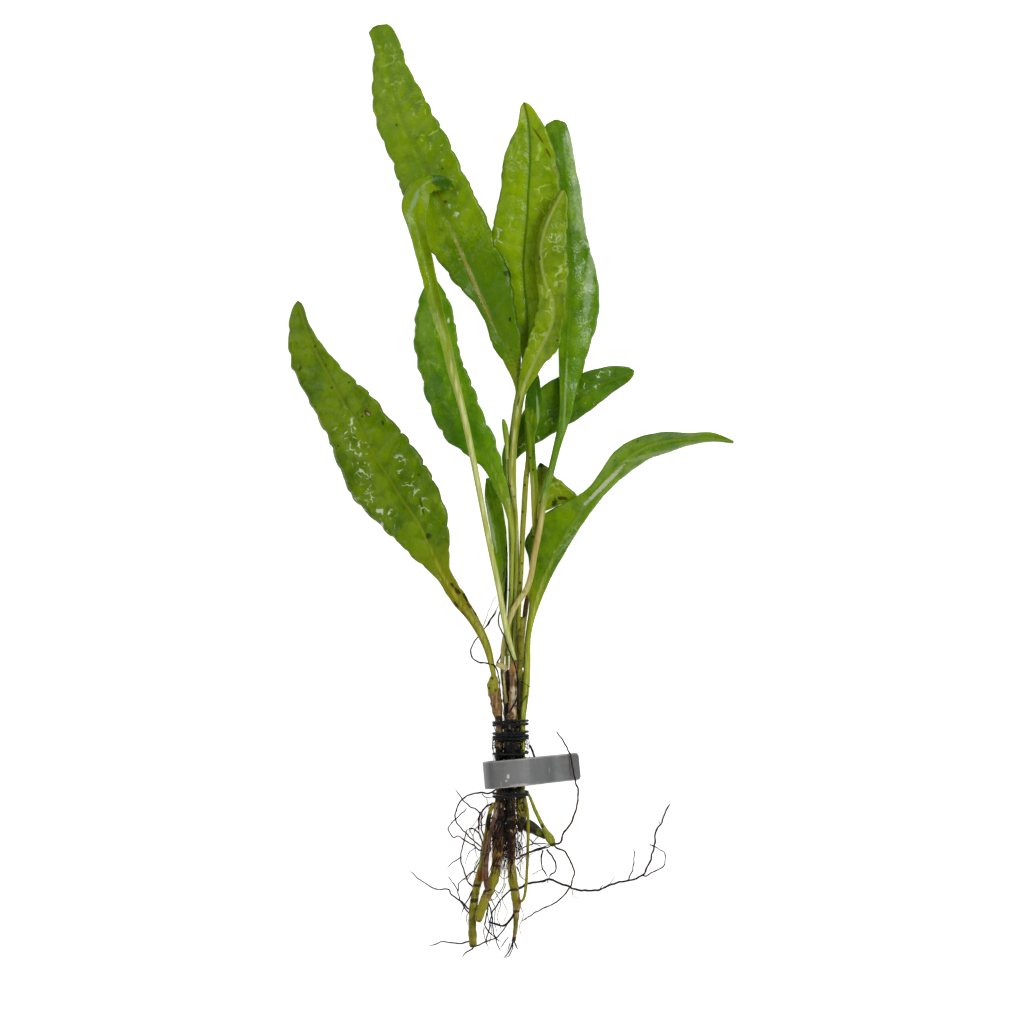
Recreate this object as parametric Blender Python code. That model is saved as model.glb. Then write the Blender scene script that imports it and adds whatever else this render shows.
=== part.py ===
"""Java fern clump with a lead plant weight, lying flat, in metres with +Z up.

The plant lies on its back on the ground plane z = 0. Its leaves point along +Y and its
roots along -Y. Rows of numbers below are real sizes in millimetres.
"""
import math

import bmesh
import bpy
from mathutils import Vector

MM = 0.001

# Leaf blades: half thickness of the lamina and of the midrib at the leaf's tip
BLADE_HALF = 0.25
RIB_TIP_HALF = 0.32
# A section narrower than this many rib radii is a round stalk, and a wider one a flat blade
STALK_LIMIT = 1.2
BLADE_LIMIT = 2.6
# Distances between sections along a stalk and along a blade
STALK_STEP = 9.0
BLADE_STEP = 4.2
# The blade's margins ripple up and down
RIPPLE_HEIGHT = 0.45
RIPPLE_LENGTH = 15.0
LEAF_SIDES = 8
STEM_SIDES = 8

# Thread winding: a rounded box shaped turn around the bundle
THREAD_RADIUS = 0.31
TURN_CENTRE = (-0.25, 4.85)
TURN_HALF_WIDTH = 4.65
TURN_HALF_HEIGHT = 3.6
TURN_SQUARENESS = 3.0
TURN_POINTS = 16
TURN_PITCH = 0.78

# Lead strip
STRIP_WIDTH = 7.4
STRIP_THICKNESS = 1.0
STRIP_LENGTH_RIGHT = 19.0
STRIP_FRONT_END = 16.6
STRIP_BEND_CENTRE_X = -3.1
STRIP_BEND_HALF_WIDTH = 3.5
STRIP_FRONT_HEIGHT = 9.4
STRIP_PLACE = (-0.45, -76.6)
STRIP_TURN = math.radians(5.4)

# Colours as the eye reads them, with roughness and metallic value
FINISHES = {
    "leaf": ((0.20, 0.34, 0.02), 0.35, 0.0),
    "pale_stalk": ((0.48, 0.57, 0.16), 0.4, 0.0),
    "rhizome": ((0.42, 0.35, 0.09), 0.55, 0.0),
    "old_stem": ((0.25, 0.17, 0.10), 0.6, 0.0),
    "root": ((0.03, 0.018, 0.015), 0.5, 0.0),
    "thread": ((0.008, 0.012, 0.014), 0.6, 0.0),
    "lead": ((0.22, 0.22, 0.225), 0.45, 0.9),
}

# Each leaf from its foot to its tip. A row is: x, y, z of the midrib, the width left and
# right of it as seen from above, and how far the left and right margins rise above it.
LEAVES = {
    "leaf_left": [
        (-4.9, -49.6, 6.0, 0.7, 0.7, 0, 0),
        (-6.8, -42.2, 6.2, 1.0, 1.15, 0, 0),
        (-10.4, -35.4, 6.0, 1.15, 1.7, 0, 0),
        (-14.8, -29.2, 5.4, 1.8, 2.4, 0.1, 0.1),
        (-18.8, -22.7, 4.9, 2.1, 2.6, 0.3, 0.3),
        (-21.9, -15.8, 4.7, 5.5, 5.6, 0.2, 0.9),
        (-25.3, -8.9, 4.7, 7.8, 8.5, -0.8, 1.2),
        (-29.6, -2.6, 4.9, 9.5, 10.1, -2.0, 1.2),
        (-33.6, 3.9, 4.8, 11.1, 10.2, -3.9, 1.0),
        (-37.8, 10.3, 4.7, 9.8, 9.9, -3.9, 1.2),
        (-41.1, 17.2, 4.4, 9.2, 8.0, -3.4, 1.4),
        (-45.4, 23.4, 4.1, 8.2, 6.9, -2.6, 1.5),
        (-49.2, 30.1, 3.3, 7.7, 4.6, -2.1, 1.2),
        (-52.7, 36.9, 2.4, 7.6, 2.7, -1.5, 0.7),
        (-55.7, 43.8, 1.6, 4.9, 1.4, -0.7, 0.3),
        (-57.1, 48.4, 1.1, 2.7, 1.2, -0.3, 0.1),
        (-57.8, 51.0, 0.9, 1.0, 0.8, 0, 0),
    ],
    "leaf_tall": [
        (-0.1, -48.2, 3.4, 0.5, 0.5, 0, 0),
        (0.1, -40.6, 3.4, 0.55, 0.55, 0, 0),
        (0.5, -29.8, 3.8, 0.6, 0.6, 0, 0),
        (0.7, -19.0, 4.0, 0.6, 0.6, 0, 0),
        (0.0, -8.2, 3.8, 0.6, 0.6, 0, 0),
        (-0.4, 2.0, 4.4, 0.65, 0.65, 0, 0),
        (-0.6, 9.0, 5.2, 0.7, 0.7, 0, 0),
        (0.3, 16.1, 6.0, 0.75, 0.75, 0, 0),
        (1.3, 22.8, 6.6, 0.85, 0.85, 0, 0),
        (1.9, 27.1, 7.0, 0.9, 0.9, 0, 0),
        (0.5, 34.0, 7.4, 2.2, 2.1, 0.2, 0.1),
        (-1.8, 40.4, 7.6, 3.7, 4.5, 0.4, 0.2),
        (-4.8, 45.7, 7.6, 2.4, 6.5, 0.5, 0.2),
        (-7.2, 51.4, 7.5, 3.1, 8.0, 0.6, 0.3),
        (-9.5, 57.1, 7.3, 5.6, 9.0, 0.8, 0.3),
        (-12.0, 62.7, 7.1, 7.0, 8.3, 0.6, 0.4),
        (-14.4, 68.4, 6.8, 8.6, 8.9, 0.2, 0.5),
        (-17.4, 73.7, 6.4, 8.5, 9.3, -0.2, 0.5),
        (-20.2, 79.2, 5.9, 8.3, 9.3, -0.4, 0.6),
        (-22.4, 84.9, 5.4, 8.4, 8.8, -0.6, 1.0),
        (-25.0, 90.5, 4.9, 7.6, 8.9, -0.8, 1.4),
        (-27.9, 95.9, 4.4, 7.0, 8.7, -1.0, 1.8),
        (-30.1, 101.6, 3.8, 7.0, 8.0, -1.2, 1.8),
        (-31.8, 107.5, 3.2, 6.0, 6.8, -1.3, 1.6),
        (-33.2, 113.5, 2.3, 4.5, 5.1, -1.1, 1.2),
        (-34.6, 119.8, 1.5, 2.8, 4.6, -0.8, 0.8),
        (-37.0, 125.3, 0.7, 2.2, 3.6, -0.4, 0.5),
    ],
    "leaf_stalked": [
        (0.9, -46.0, 8.4, 0.5, 0.5, 0, 0),
        (-0.7, -40.6, 8.7, 0.78, 0.78, 0, 0),
        (-2.2, -33.6, 9.0, 0.78, 0.78, 0, 0),
        (-3.2, -27.7, 9.4, 0.78, 0.78, 0, 0),
        (-6.2, -13.4, 10.0, 0.75, 0.75, 0, 0),
        (-8.8, 0.1, 10.6, 0.8, 0.8, 0, 0),
        (-10.5, 9.0, 11.0, 0.85, 0.85, 0, 0),
        (-12.6, 19.0, 11.5, 0.9, 0.9, 0, 0),
        (-14.0, 24.7, 11.8, 1.0, 1.0, 0, 0),
        (-16.1, 32.5, 12.2, 1.3, 1.3, 0.2, 0.2),
        (-17.7, 39.8, 12.6, 1.4, 1.4, 0.4, 0.4),
        (-20.3, 48.7, 13.0, 1.9, 1.9, 0.9, 0.9),
        (-22.0, 56.6, 13.4, 2.0, 1.9, 1.2, 1.2),
        (-23.4, 62.5, 13.6, 2.2, 2.1, 1.4, 1.4),
        (-24.7, 67.4, 13.9, 2.2, 2.2, 1.4, 1.4),
        (-25.4, 71.4, 14.1, 2.7, 2.4, 1.2, 1.0),
        (-25.8, 74.9, 14.3, 3.6, 3.2, 0.6, 0.2),
        (-25.6, 78.2, 14.4, 3.6, 3.6, -0.2, -0.8),
        (-24.4, 81.4, 14.2, 2.4, 3.4, -0.6, -1.4),
        (-22.0, 82.9, 13.2, 1.7, 3.0, -0.6, -1.2),
        (-19.5, 83.0, 11.9, 1.6, 2.6, -0.4, -0.8),
        (-17.0, 82.4, 10.4, 1.2, 1.8, 0, -0.2),
        (-15.2, 81.6, 9.2, 0.6, 0.8, 0, 0),
    ],
    "leaf_inner": [
        (-0.7, -44.9, 5.0, 0.45, 0.45, 0, 0),
        (-0.7, -40.6, 5.1, 0.45, 0.45, 0, 0),
        (-0.1, -29.8, 5.8, 0.5, 0.5, 0, 0),
        (0.2, -19.0, 6.6, 0.5, 0.5, 0, 0),
        (0.3, -12.0, 6.9, 0.6, 0.7, 0, 0),
        (-1.0, -4.7, 7.0, 1.1, 1.2, 0, 0),
        (-3.1, 0.9, 7.0, 1.7, 2.1, 0, 0),
        (-5.4, 6.5, 6.8, 2.3, 3.0, 0.1, 0),
        (-8.3, 11.7, 6.5, 4.5, 4.3, 0.2, 0),
        (-11.4, 16.9, 6.2, 7.0, 4.8, 0, 0.2),
        (-14.2, 22.2, 5.9, 7.2, 5.5, -0.6, 0.4),
        (-16.4, 27.8, 5.5, 7.2, 5.7, -1.4, 0.6),
        (-18.1, 33.6, 5.0, 7.1, 4.8, -2.0, 0.8),
        (-19.3, 39.5, 4.5, 6.9, 4.8, -2.2, 0.8),
        (-20.1, 45.5, 4.0, 6.3, 4.7, -2.0, 0.8),
        (-21.1, 51.4, 3.4, 4.0, 3.8, -1.4, 0.6),
        (-21.7, 57.0, 2.8, 0.9, 1.2, -0.2, 0.1),
    ],
    "leaf_back": [
        (1.75, -48.2, 3.0, 0.5, 0.5, 0, 0),
        (1.75, -40.6, 2.8, 0.55, 0.55, 0, 0),
        (1.6, -19.0, 2.9, 0.6, 0.6, 0, 0),
        (0.8, -2.8, 2.7, 0.6, 0.6, 0, 0),
        (0.8, 10.7, 3.5, 0.65, 0.65, 0, 0),
        (2.2, 21.5, 4.2, 0.7, 0.7, 0, 0),
        (3.9, 30.5, 4.7, 0.8, 0.8, 0, 0),
        (4.2, 36.0, 4.8, 1.6, 1.4, 0, 0),
        (4.2, 41.4, 4.9, 3.5, 3.1, 0, 0.1),
        (4.2, 47.7, 4.9, 6.0, 5.3, 0, 0.2),
        (3.6, 54.1, 4.9, 7.6, 8.0, 0, 0.2),
        (3.2, 60.4, 4.9, 8.5, 9.3, 0.1, 0.2),
        (3.6, 66.8, 4.8, 9.2, 9.6, 0.2, 0.3),
        (4.2, 73.1, 4.8, 8.7, 9.4, 0.3, 0.3),
        (4.5, 79.5, 4.7, 7.6, 8.9, 0.4, 0.4),
        (4.9, 85.9, 4.7, 7.5, 7.9, 0.5, 0.4),
        (5.0, 92.3, 4.6, 6.3, 6.3, 0.5, 0.3),
        (4.6, 98.6, 4.3, 3.1, 3.8, 0.3, 0.2),
        (3.4, 104.6, 3.8, 1.0, 1.1, 0, 0),
    ],
    "leaf_sheen": [
        (-1.3, -57.6, 5.2, 0.5, 0.5, 0, 0),
        (-1.8, -54.6, 5.1, 0.55, 0.55, 0, 0),
        (-2.3, -51.0, 4.9, 0.6, 0.6, 0, 0),
        (-2.5, -46.6, 4.7, 0.6, 0.6, 0, 0),
        (-2.2, -42.5, 5.6, 0.65, 0.65, 0, 0),
        (-1.5, -38.8, 6.4, 0.7, 0.7, 0, 0),
        (-0.5, -35.2, 7.0, 0.7, 0.7, 0, 0),
        (0.8, -32.0, 7.5, 0.75, 0.75, 0, 0),
        (2.3, -29.6, 8.0, 0.8, 0.8, 0, 0),
        (4.1, -26.8, 8.2, 0.8, 0.8, 0, 0),
        (5.3, -23.0, 8.3, 0.8, 0.8, 0, 0),
        (6.1, -18.2, 8.3, 0.8, 0.8, 0, 0),
        (7.2, -12.6, 8.0, 0.8, 0.8, 0, 0),
        (8.0, -8.2, 7.7, 0.8, 0.8, 0, 0),
        (8.8, -2.3, 7.2, 0.85, 0.85, 0, 0),
        (10.2, 3.1, 6.7, 0.9, 0.9, 0, 0),
        (12.3, 11.8, 5.8, 1.0, 1.1, 0, 0),
        (13.8, 18.5, 5.2, 1.1, 1.8, 0, -0.1),
        (14.3, 25.2, 4.7, 1.3, 3.1, 0, -0.4),
        (14.7, 32.0, 4.2, 1.9, 4.5, -0.1, -0.9),
        (15.1, 38.8, 3.8, 2.5, 6.0, -0.3, -1.4),
        (15.6, 45.6, 3.5, 3.6, 7.6, -0.4, -2.2),
        (15.9, 52.4, 3.4, 5.1, 7.9, -0.5, -2.5),
        (15.8, 59.2, 3.3, 6.0, 7.0, -0.5, -2.5),
        (15.3, 66.0, 3.3, 6.1, 5.6, -0.4, -2.2),
        (14.8, 72.7, 3.2, 6.1, 4.8, -0.3, -1.6),
        (14.3, 79.5, 3.1, 5.7, 4.6, -0.3, -1.5),
        (13.6, 86.3, 3.0, 5.2, 3.9, -0.3, -1.4),
        (12.9, 93.0, 2.7, 4.2, 3.5, -0.3, -1.1),
        (12.2, 98.2, 2.3, 3.3, 2.9, -0.1, -0.6),
        (12.0, 100.0, 2.2, 2.2, 1.8, -0.1, -0.4),
    ],
    "leaf_curled": [
        (0.95, -48.2, 4.3, 0.5, 0.5, 0, 0),
        (0.95, -40.6, 4.4, 0.55, 0.55, 0, 0),
        (1.2, -29.8, 5.2, 0.6, 0.6, 0, 0),
        (1.4, -19.0, 5.6, 0.6, 0.6, 0, 0),
        (1.2, -8.2, 5.4, 0.62, 0.62, 0, 0),
        (0.6, -2.0, 5.8, 0.66, 0.66, 0, 0),
        (0.0, 3.4, 6.5, 0.68, 0.68, 0, 0),
        (0.2, 9.0, 7.2, 0.7, 0.7, 0, 0),
        (0.6, 13.1, 7.7, 0.75, 0.75, 0, 0),
        (1.4, 20.1, 8.3, 0.8, 0.8, 0, 0),
        (2.5, 25.2, 8.7, 1.0, 1.0, 0, 0),
        (4.2, 30.0, 9.1, 2.2, 1.9, 0.2, 0.3),
        (6.4, 35.0, 9.5, 3.4, 2.9, 0.2, 0.8),
        (8.8, 40.0, 9.9, 4.2, 4.2, 0, 1.2),
        (10.9, 44.9, 10.2, 4.9, 2.8, -0.4, 1.6),
        (11.2, 50.3, 10.5, 4.4, 3.6, -0.9, 1.4),
        (9.3, 55.3, 10.8, 2.6, 6.2, -1.8, 0.6),
        (8.1, 60.3, 11.0, 1.9, 6.9, -2.4, 0),
        (7.9, 65.8, 11.2, 1.2, 6.7, -2.6, -0.4),
        (9.3, 71.0, 11.2, 1.5, 5.9, -2.6, -0.6),
        (11.5, 76.0, 10.8, 1.2, 4.0, -2.0, -0.4),
        (14.0, 80.6, 10.2, 1.0, 1.2, -0.6, 0),
    ],
    "leaf_low": [
        (-1.2, -48.2, 2.6, 0.45, 0.45, 0, 0),
        (-1.2, -40.6, 2.4, 0.5, 0.5, 0, 0),
        (-0.4, -29.8, 2.3, 0.5, 0.5, 0, 0),
        (-0.2, -19.0, 2.1, 0.5, 0.5, 0, 0),
        (-0.5, -8.2, 2.0, 0.55, 0.55, 0, 0),
        (-1.2, 1.2, 1.8, 0.65, 0.65, 0, 0),
        (-1.4, 5.5, 1.6, 1.0, 0.9, 0, 0),
        (-0.2, 9.8, 1.4, 2.4, 2.4, 0.1, 0),
        (3.0, 14.2, 1.2, 3.6, 3.6, 0.3, -0.1),
        (7.0, 17.8, 0.9, 5.2, 4.6, 0.5, -0.3),
        (11.5, 21.2, 0.9, 7.0, 5.2, 0.6, -0.4),
        (16.2, 24.2, 0.9, 7.2, 5.3, 0.7, -0.5),
        (21.0, 26.8, 1.2, 5.2, 4.6, 0.9, -0.5),
        (26.0, 29.0, 1.2, 4.3, 3.2, 0.9, -0.4),
        (30.5, 30.8, 1.0, 2.9, 2.1, 0.4, -0.2),
        (33.2, 32.1, 0.8, 1.1, 0.9, 0, 0),
    ],
    "leaf_twisted": [
        (3.1, -75.0, 6.3, 0.5, 0.5, 0, 0),
        (3.1, -67.6, 6.4, 0.66, 0.66, 0, 0),
        (3.2, -61.5, 6.1, 0.7, 0.7, 0, 0),
        (3.9, -54.1, 5.4, 0.95, 0.95, 0, 0),
        (4.2, -47.4, 4.8, 0.95, 0.95, 0, 0),
        (4.4, -40.6, 4.4, 0.8, 0.8, 0, 0),
        (5.0, -36.6, 4.3, 0.9, 0.85, 0, 0),
        (5.9, -33.0, 4.3, 1.3, 1.0, 0, 0),
        (7.5, -27.9, 4.3, 2.8, 1.3, 0.1, -0.1),
        (9.7, -22.1, 4.3, 5.3, 1.7, 0.2, -0.3),
        (11.0, -19.3, 4.3, 8.0, 1.9, 0.1, -0.4),
        (12.3, -16.5, 4.3, 9.0, 2.2, 0, -0.6),
        (15.3, -11.1, 4.5, 8.2, 2.4, 0.2, -1.0),
        (18.8, -6.0, 4.9, 4.6, 2.3, 1.0, -1.4),
        (22.7, -1.1, 5.2, 2.5, 2.2, 2.0, -1.8),
        (26.5, 3.7, 5.2, 2.8, 2.8, 3.0, -2.6),
        (31.0, 8.0, 5.0, 3.9, 3.3, 3.6, -3.2),
        (36.2, 11.3, 4.7, 3.3, 3.3, 3.6, -3.4),
        (42.0, 13.1, 4.1, 2.5, 3.1, 3.0, -3.0),
        (48.1, 13.7, 3.2, 1.6, 1.8, 2.2, -2.2),
        (54.3, 13.7, 2.0, 1.7, 0.8, 1.2, -1.1),
        (60.1, 12.8, 0.5, 0.4, 0.4, 0, 0),
    ],
    "leaf_crinkled": [
        (3.0, -48.2, 2.6, 0.4, 0.4, 0, 0),
        (3.1, -40.6, 2.4, 0.45, 0.45, 0, 0),
        (4.4, -29.8, 2.2, 0.45, 0.45, 0, 0),
        (5.6, -19.0, 2.2, 0.5, 0.5, 0, 0),
        (6.4, -10.9, 2.2, 0.55, 0.55, 0, 0),
        (7.0, -6.2, 2.2, 0.7, 1.2, 0, 0),
        (7.2, -4.6, 2.2, 0.8, 4.2, 0, 0.1),
        (7.3, -3.2, 2.2, 0.8, 7.4, 0, 0.2),
        (7.4, -1.8, 2.3, 0.8, 10.0, 0, 0.3),
        (7.5, -0.2, 2.4, 0.8, 9.6, 0.1, 0.4),
        (7.6, 1.4, 2.4, 0.9, 7.4, 0.1, 0.4),
        (7.6, 3.2, 2.4, 0.9, 4.4, 0.1, 0.3),
        (7.7, 5.2, 2.2, 0.9, 3.0, 0, 0.1),
        (7.8, 7.2, 2.0, 0.6, 1.2, 0, 0),
    ],
    "leaf_narrow": [
        (-1.6, -45.0, 3.9, 0.4, 0.4, 0, 0),
        (-1.7, -38.0, 3.6, 0.45, 0.45, 0, 0),
        (-1.9, -32.5, 3.4, 0.6, 0.6, 0, 0),
        (-2.0, -29.0, 3.1, 0.9, 0.9, 0, 0),
        (-2.3, -24.4, 2.8, 1.2, 1.3, 0, 0),
        (-2.8, -19.0, 2.5, 1.6, 1.7, 0, 0),
        (-3.4, -13.6, 2.3, 1.9, 2.2, 0.2, 0.1),
        (-4.2, -6.9, 2.2, 2.3, 2.2, 0.3, 0.1),
        (-5.4, -1.5, 2.1, 1.9, 1.9, 0.3, 0.1),
        (-6.5, 3.1, 2.0, 0.5, 0.5, 0, 0),
    ],
    "frond_young": [
        (-1.15, 8.0, 7.2, 0.3, 0.3, 0, 0),
        (-1.15, 10.5, 7.3, 0.45, 0.45, 0, 0),
        (-1.4, 14.2, 7.5, 0.8, 0.75, 0.1, 0.1),
        (-1.9, 17.4, 7.6, 0.7, 0.7, 0.1, 0.1),
        (-2.3, 19.0, 7.6, 0.35, 0.35, 0, 0),
    ],
    "leaf_dark": [
        (2.0, -35.6, 6.3, 0.5, 0.5, 0, 0),
        (2.2, -29.8, 6.1, 0.55, 0.55, 0, 0),
        (2.75, -19.3, 6.4, 0.6, 0.6, 0, 0),
        (2.9, -13.4, 6.2, 0.7, 0.7, 0, 0),
        (3.4, -5.3, 5.6, 0.75, 0.75, 0, 0),
        (3.9, 2.6, 5.0, 0.75, 0.75, 0, 0),
        (4.6, 8.8, 5.0, 0.75, 0.75, 0, 0),
        (4.8, 13.4, 5.3, 1.2, 1.2, 0, 0),
        (5.4, 18.8, 5.7, 1.8, 2.0, 0.1, 0),
        (6.1, 25.5, 6.1, 2.2, 2.0, 0.1, 0),
        (6.8, 31.5, 6.3, 0.6, 0.6, 0, 0),
    ],
    "leaf_thin": [
        (3.4, -35.6, 5.4, 0.6, 0.6, 0, 0),
        (3.8, -31.7, 5.5, 0.6, 0.6, 0, 0),
        (4.6, -27.1, 5.8, 0.5, 0.5, 0, 0),
        (5.5, -20.4, 6.0, 0.45, 0.45, 0, 0),
        (6.1, -13.4, 5.9, 0.45, 0.6, 0, 0),
        (5.9, -5.3, 5.9, 0.5, 1.1, 0, 0),
        (5.7, 0.9, 6.0, 0.55, 1.5, 0, 0),
        (5.4, 6.3, 6.4, 0.65, 1.3, 0, 0),
        (5.2, 10.6, 6.8, 0.8, 1.2, 0, 0),
        (4.9, 14.7, 7.1, 0.9, 1.2, 0, 0),
        (4.2, 18.8, 7.2, 0.4, 0.4, 0, 0),
    ],
}

# Each rhizome or stem. A row is: x, y, z, half width, half height.
STEMS = {
    "rhizome_left": [
        (-4.8, -50.2, 6.0, 0.9, 0.9),
        (-4.9, -51.6, 6.0, 1.35, 1.3),
        (-4.9, -53.6, 6.1, 1.55, 1.45),
        (-4.4, -56.4, 6.0, 1.5, 1.45),
        (-4.1, -57.4, 5.9, 1.6, 1.4),
        (-3.8, -60.0, 5.8, 1.35, 1.25),
        (-3.4, -62.0, 5.7, 1.0, 1.1),
        (-3.3, -67.5, 5.6, 1.0, 1.1),
        (-3.3, -73.0, 5.6, 1.1, 1.2),
        (-3.1, -79.5, 5.5, 1.15, 1.25),
        (-3.1, -83.2, 5.2, 1.15, 1.25),
        (-3.3, -85.6, 4.9, 1.4, 1.35),
        (-3.6, -89.0, 4.7, 1.4, 1.3),
        (-3.8, -93.5, 4.2, 1.4, 1.2),
        (-3.8, -97.5, 3.8, 1.35, 1.2),
        (-4.2, -102.5, 3.5, 1.3, 1.2),
        (-5.1, -106.2, 3.3, 1.35, 1.15),
        (-6.8, -110.0, 3.15, 1.25, 1.05),
        (-8.1, -113.6, 3.2, 1.2, 1.0),
        (-9.2, -116.8, 3.3, 0.95, 0.85),
    ],
    "rhizome_fork": [
        (-5.9, -87.4, 4.6, 0.55, 0.55),
        (-6.7, -94.0, 3.6, 0.85, 0.85),
        (-7.5, -100.0, 2.6, 1.0, 1.0),
        (-8.7, -105.0, 1.9, 1.1, 1.05),
        (-9.7, -108.6, 1.5, 1.0, 1.0),
        (-10.2, -112.4, 1.35, 1.1, 1.1),
        (-10.6, -116.0, 1.25, 1.0, 1.0),
        (-10.5, -120.6, 1.25, 1.1, 1.1),
        (-10.4, -123.8, 1.15, 0.95, 0.95),
    ],
    "stem_old": [
        (-5.4, -91.2, 6.6, 0.5, 0.5),
        (-6.3, -96.0, 5.7, 0.65, 0.65),
        (-7.0, -101.4, 5.1, 0.75, 0.75),
        (-6.9, -105.5, 5.2, 0.75, 0.75),
        (-6.5, -108.2, 5.2, 0.55, 0.55),
    ],
    "rhizome_middle": [
        (0.55, -46.4, 6.8, 0.75, 0.7),
        (0.5, -48.0, 6.7, 1.0, 0.95),
        (0.4, -51.0, 6.7, 0.9, 0.9),
        (0.4, -54.5, 6.8, 1.05, 1.0),
        (0.3, -58.5, 6.8, 1.05, 1.0),
        (0.1, -61.0, 6.7, 1.3, 1.1),
        (0.0, -64.0, 6.3, 1.9, 1.35),
        (0.0, -71.0, 6.3, 2.0, 1.4),
        (-0.1, -77.0, 6.3, 1.6, 1.4),
        (-0.1, -81.5, 5.9, 1.15, 1.35),
        (-0.1, -86.0, 5.2, 1.2, 1.3),
        (-0.1, -91.0, 4.5, 1.3, 1.25),
        (-0.1, -95.5, 3.6, 1.05, 1.05),
        (-0.1, -100.0, 2.8, 1.1, 1.05),
        (0.3, -105.0, 2.2, 1.2, 1.1),
        (0.9, -108.7, 1.8, 1.15, 1.1),
        (1.4, -112.2, 1.5, 1.1, 1.05),
        (1.2, -116.0, 1.2, 0.7, 0.8),
        (1.0, -119.7, 1.05, 0.55, 0.65),
        (0.5, -122.4, 0.95, 0.5, 0.5),
    ],
    "rhizome_right": [
        (2.15, -48.7, 3.1, 1.05, 1.05),
        (2.2, -52.0, 3.1, 1.2, 1.2),
        (2.15, -60.0, 3.2, 1.2, 1.2),
        (2.2, -70.0, 3.3, 1.2, 1.2),
        (2.4, -76.0, 4.0, 1.2, 1.2),
        (2.4, -80.5, 4.8, 1.2, 1.3),
        (2.4, -83.4, 4.9, 1.2, 1.3),
        (2.7, -86.5, 4.9, 1.4, 1.3),
        (2.6, -90.4, 4.6, 1.1, 1.1),
        (2.4, -92.6, 4.3, 0.6, 0.6),
    ],
    "rhizome_back": [
        (-0.7, -48.7, 3.2, 1.05, 1.05),
        (-0.8, -52.0, 3.2, 1.2, 1.2),
        (-0.9, -60.0, 3.2, 1.2, 1.2),
        (-0.9, -70.0, 3.1, 1.2, 1.15),
        (-0.9, -80.0, 2.8, 1.1, 1.1),
        (-0.9, -86.0, 2.4, 0.8, 0.8),
    ],
    "rhizome_cross": [
        (-1.1, -48.7, 6.6, 0.7, 0.65),
        (-1.8, -48.1, 6.5, 0.8, 0.7),
        (-3.0, -47.5, 6.5, 0.75, 0.65),
        (-4.2, -47.2, 6.5, 0.6, 0.55),
    ],
    "stem_olive": [
        (2.9, -36.2, 6.0, 0.95, 0.8),
        (2.6, -39.0, 5.9, 1.05, 1.0),
        (2.4, -43.5, 5.9, 0.95, 0.95),
        (2.2, -48.0, 5.8, 0.75, 0.8),
        (2.0, -53.0, 5.7, 0.7, 0.7),
        (1.95, -59.3, 5.6, 0.5, 0.5),
    ],
    "stalk_yellow": [
        (4.0, -84.2, 6.8, 0.3, 0.3),
        (4.4, -87.5, 6.5, 0.4, 0.4),
        (4.5, -91.5, 5.1, 0.4, 0.4),
        (4.4, -97.6, 3.5, 0.4, 0.4),
        (4.2, -102.5, 2.8, 0.4, 0.4),
        (3.9, -107.3, 2.3, 0.4, 0.4),
        (3.2, -110.8, 1.9, 0.38, 0.38),
    ],
    "branch_green": [
        (4.9, -82.9, 4.6, 0.38, 0.38),
        (6.3, -86.4, 4.3, 0.5, 0.5),
        (8.0, -90.0, 3.9, 0.55, 0.55),
        (9.3, -92.4, 3.5, 0.75, 0.7),
        (10.3, -94.2, 3.1, 1.2, 1.0),
        (11.0, -95.4, 2.9, 0.95, 0.9),
        (11.4, -96.4, 2.8, 0.6, 0.6),
    ],
    "branch_woody": [
        (2.5, -90.5, 1.9, 0.9, 0.8),
        (4.4, -90.9, 2.2, 1.75, 1.2),
        (6.0, -91.7, 2.1, 1.5, 1.1),
        (7.2, -92.6, 1.8, 1.2, 0.9),
        (7.9, -93.1, 1.7, 0.9, 0.8),
    ],
}
PALE_LEAVES = ("leaf_stalked",)
OLD_STEMS = ("stem_old", "branch_woody", "rhizome_back")

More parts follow.
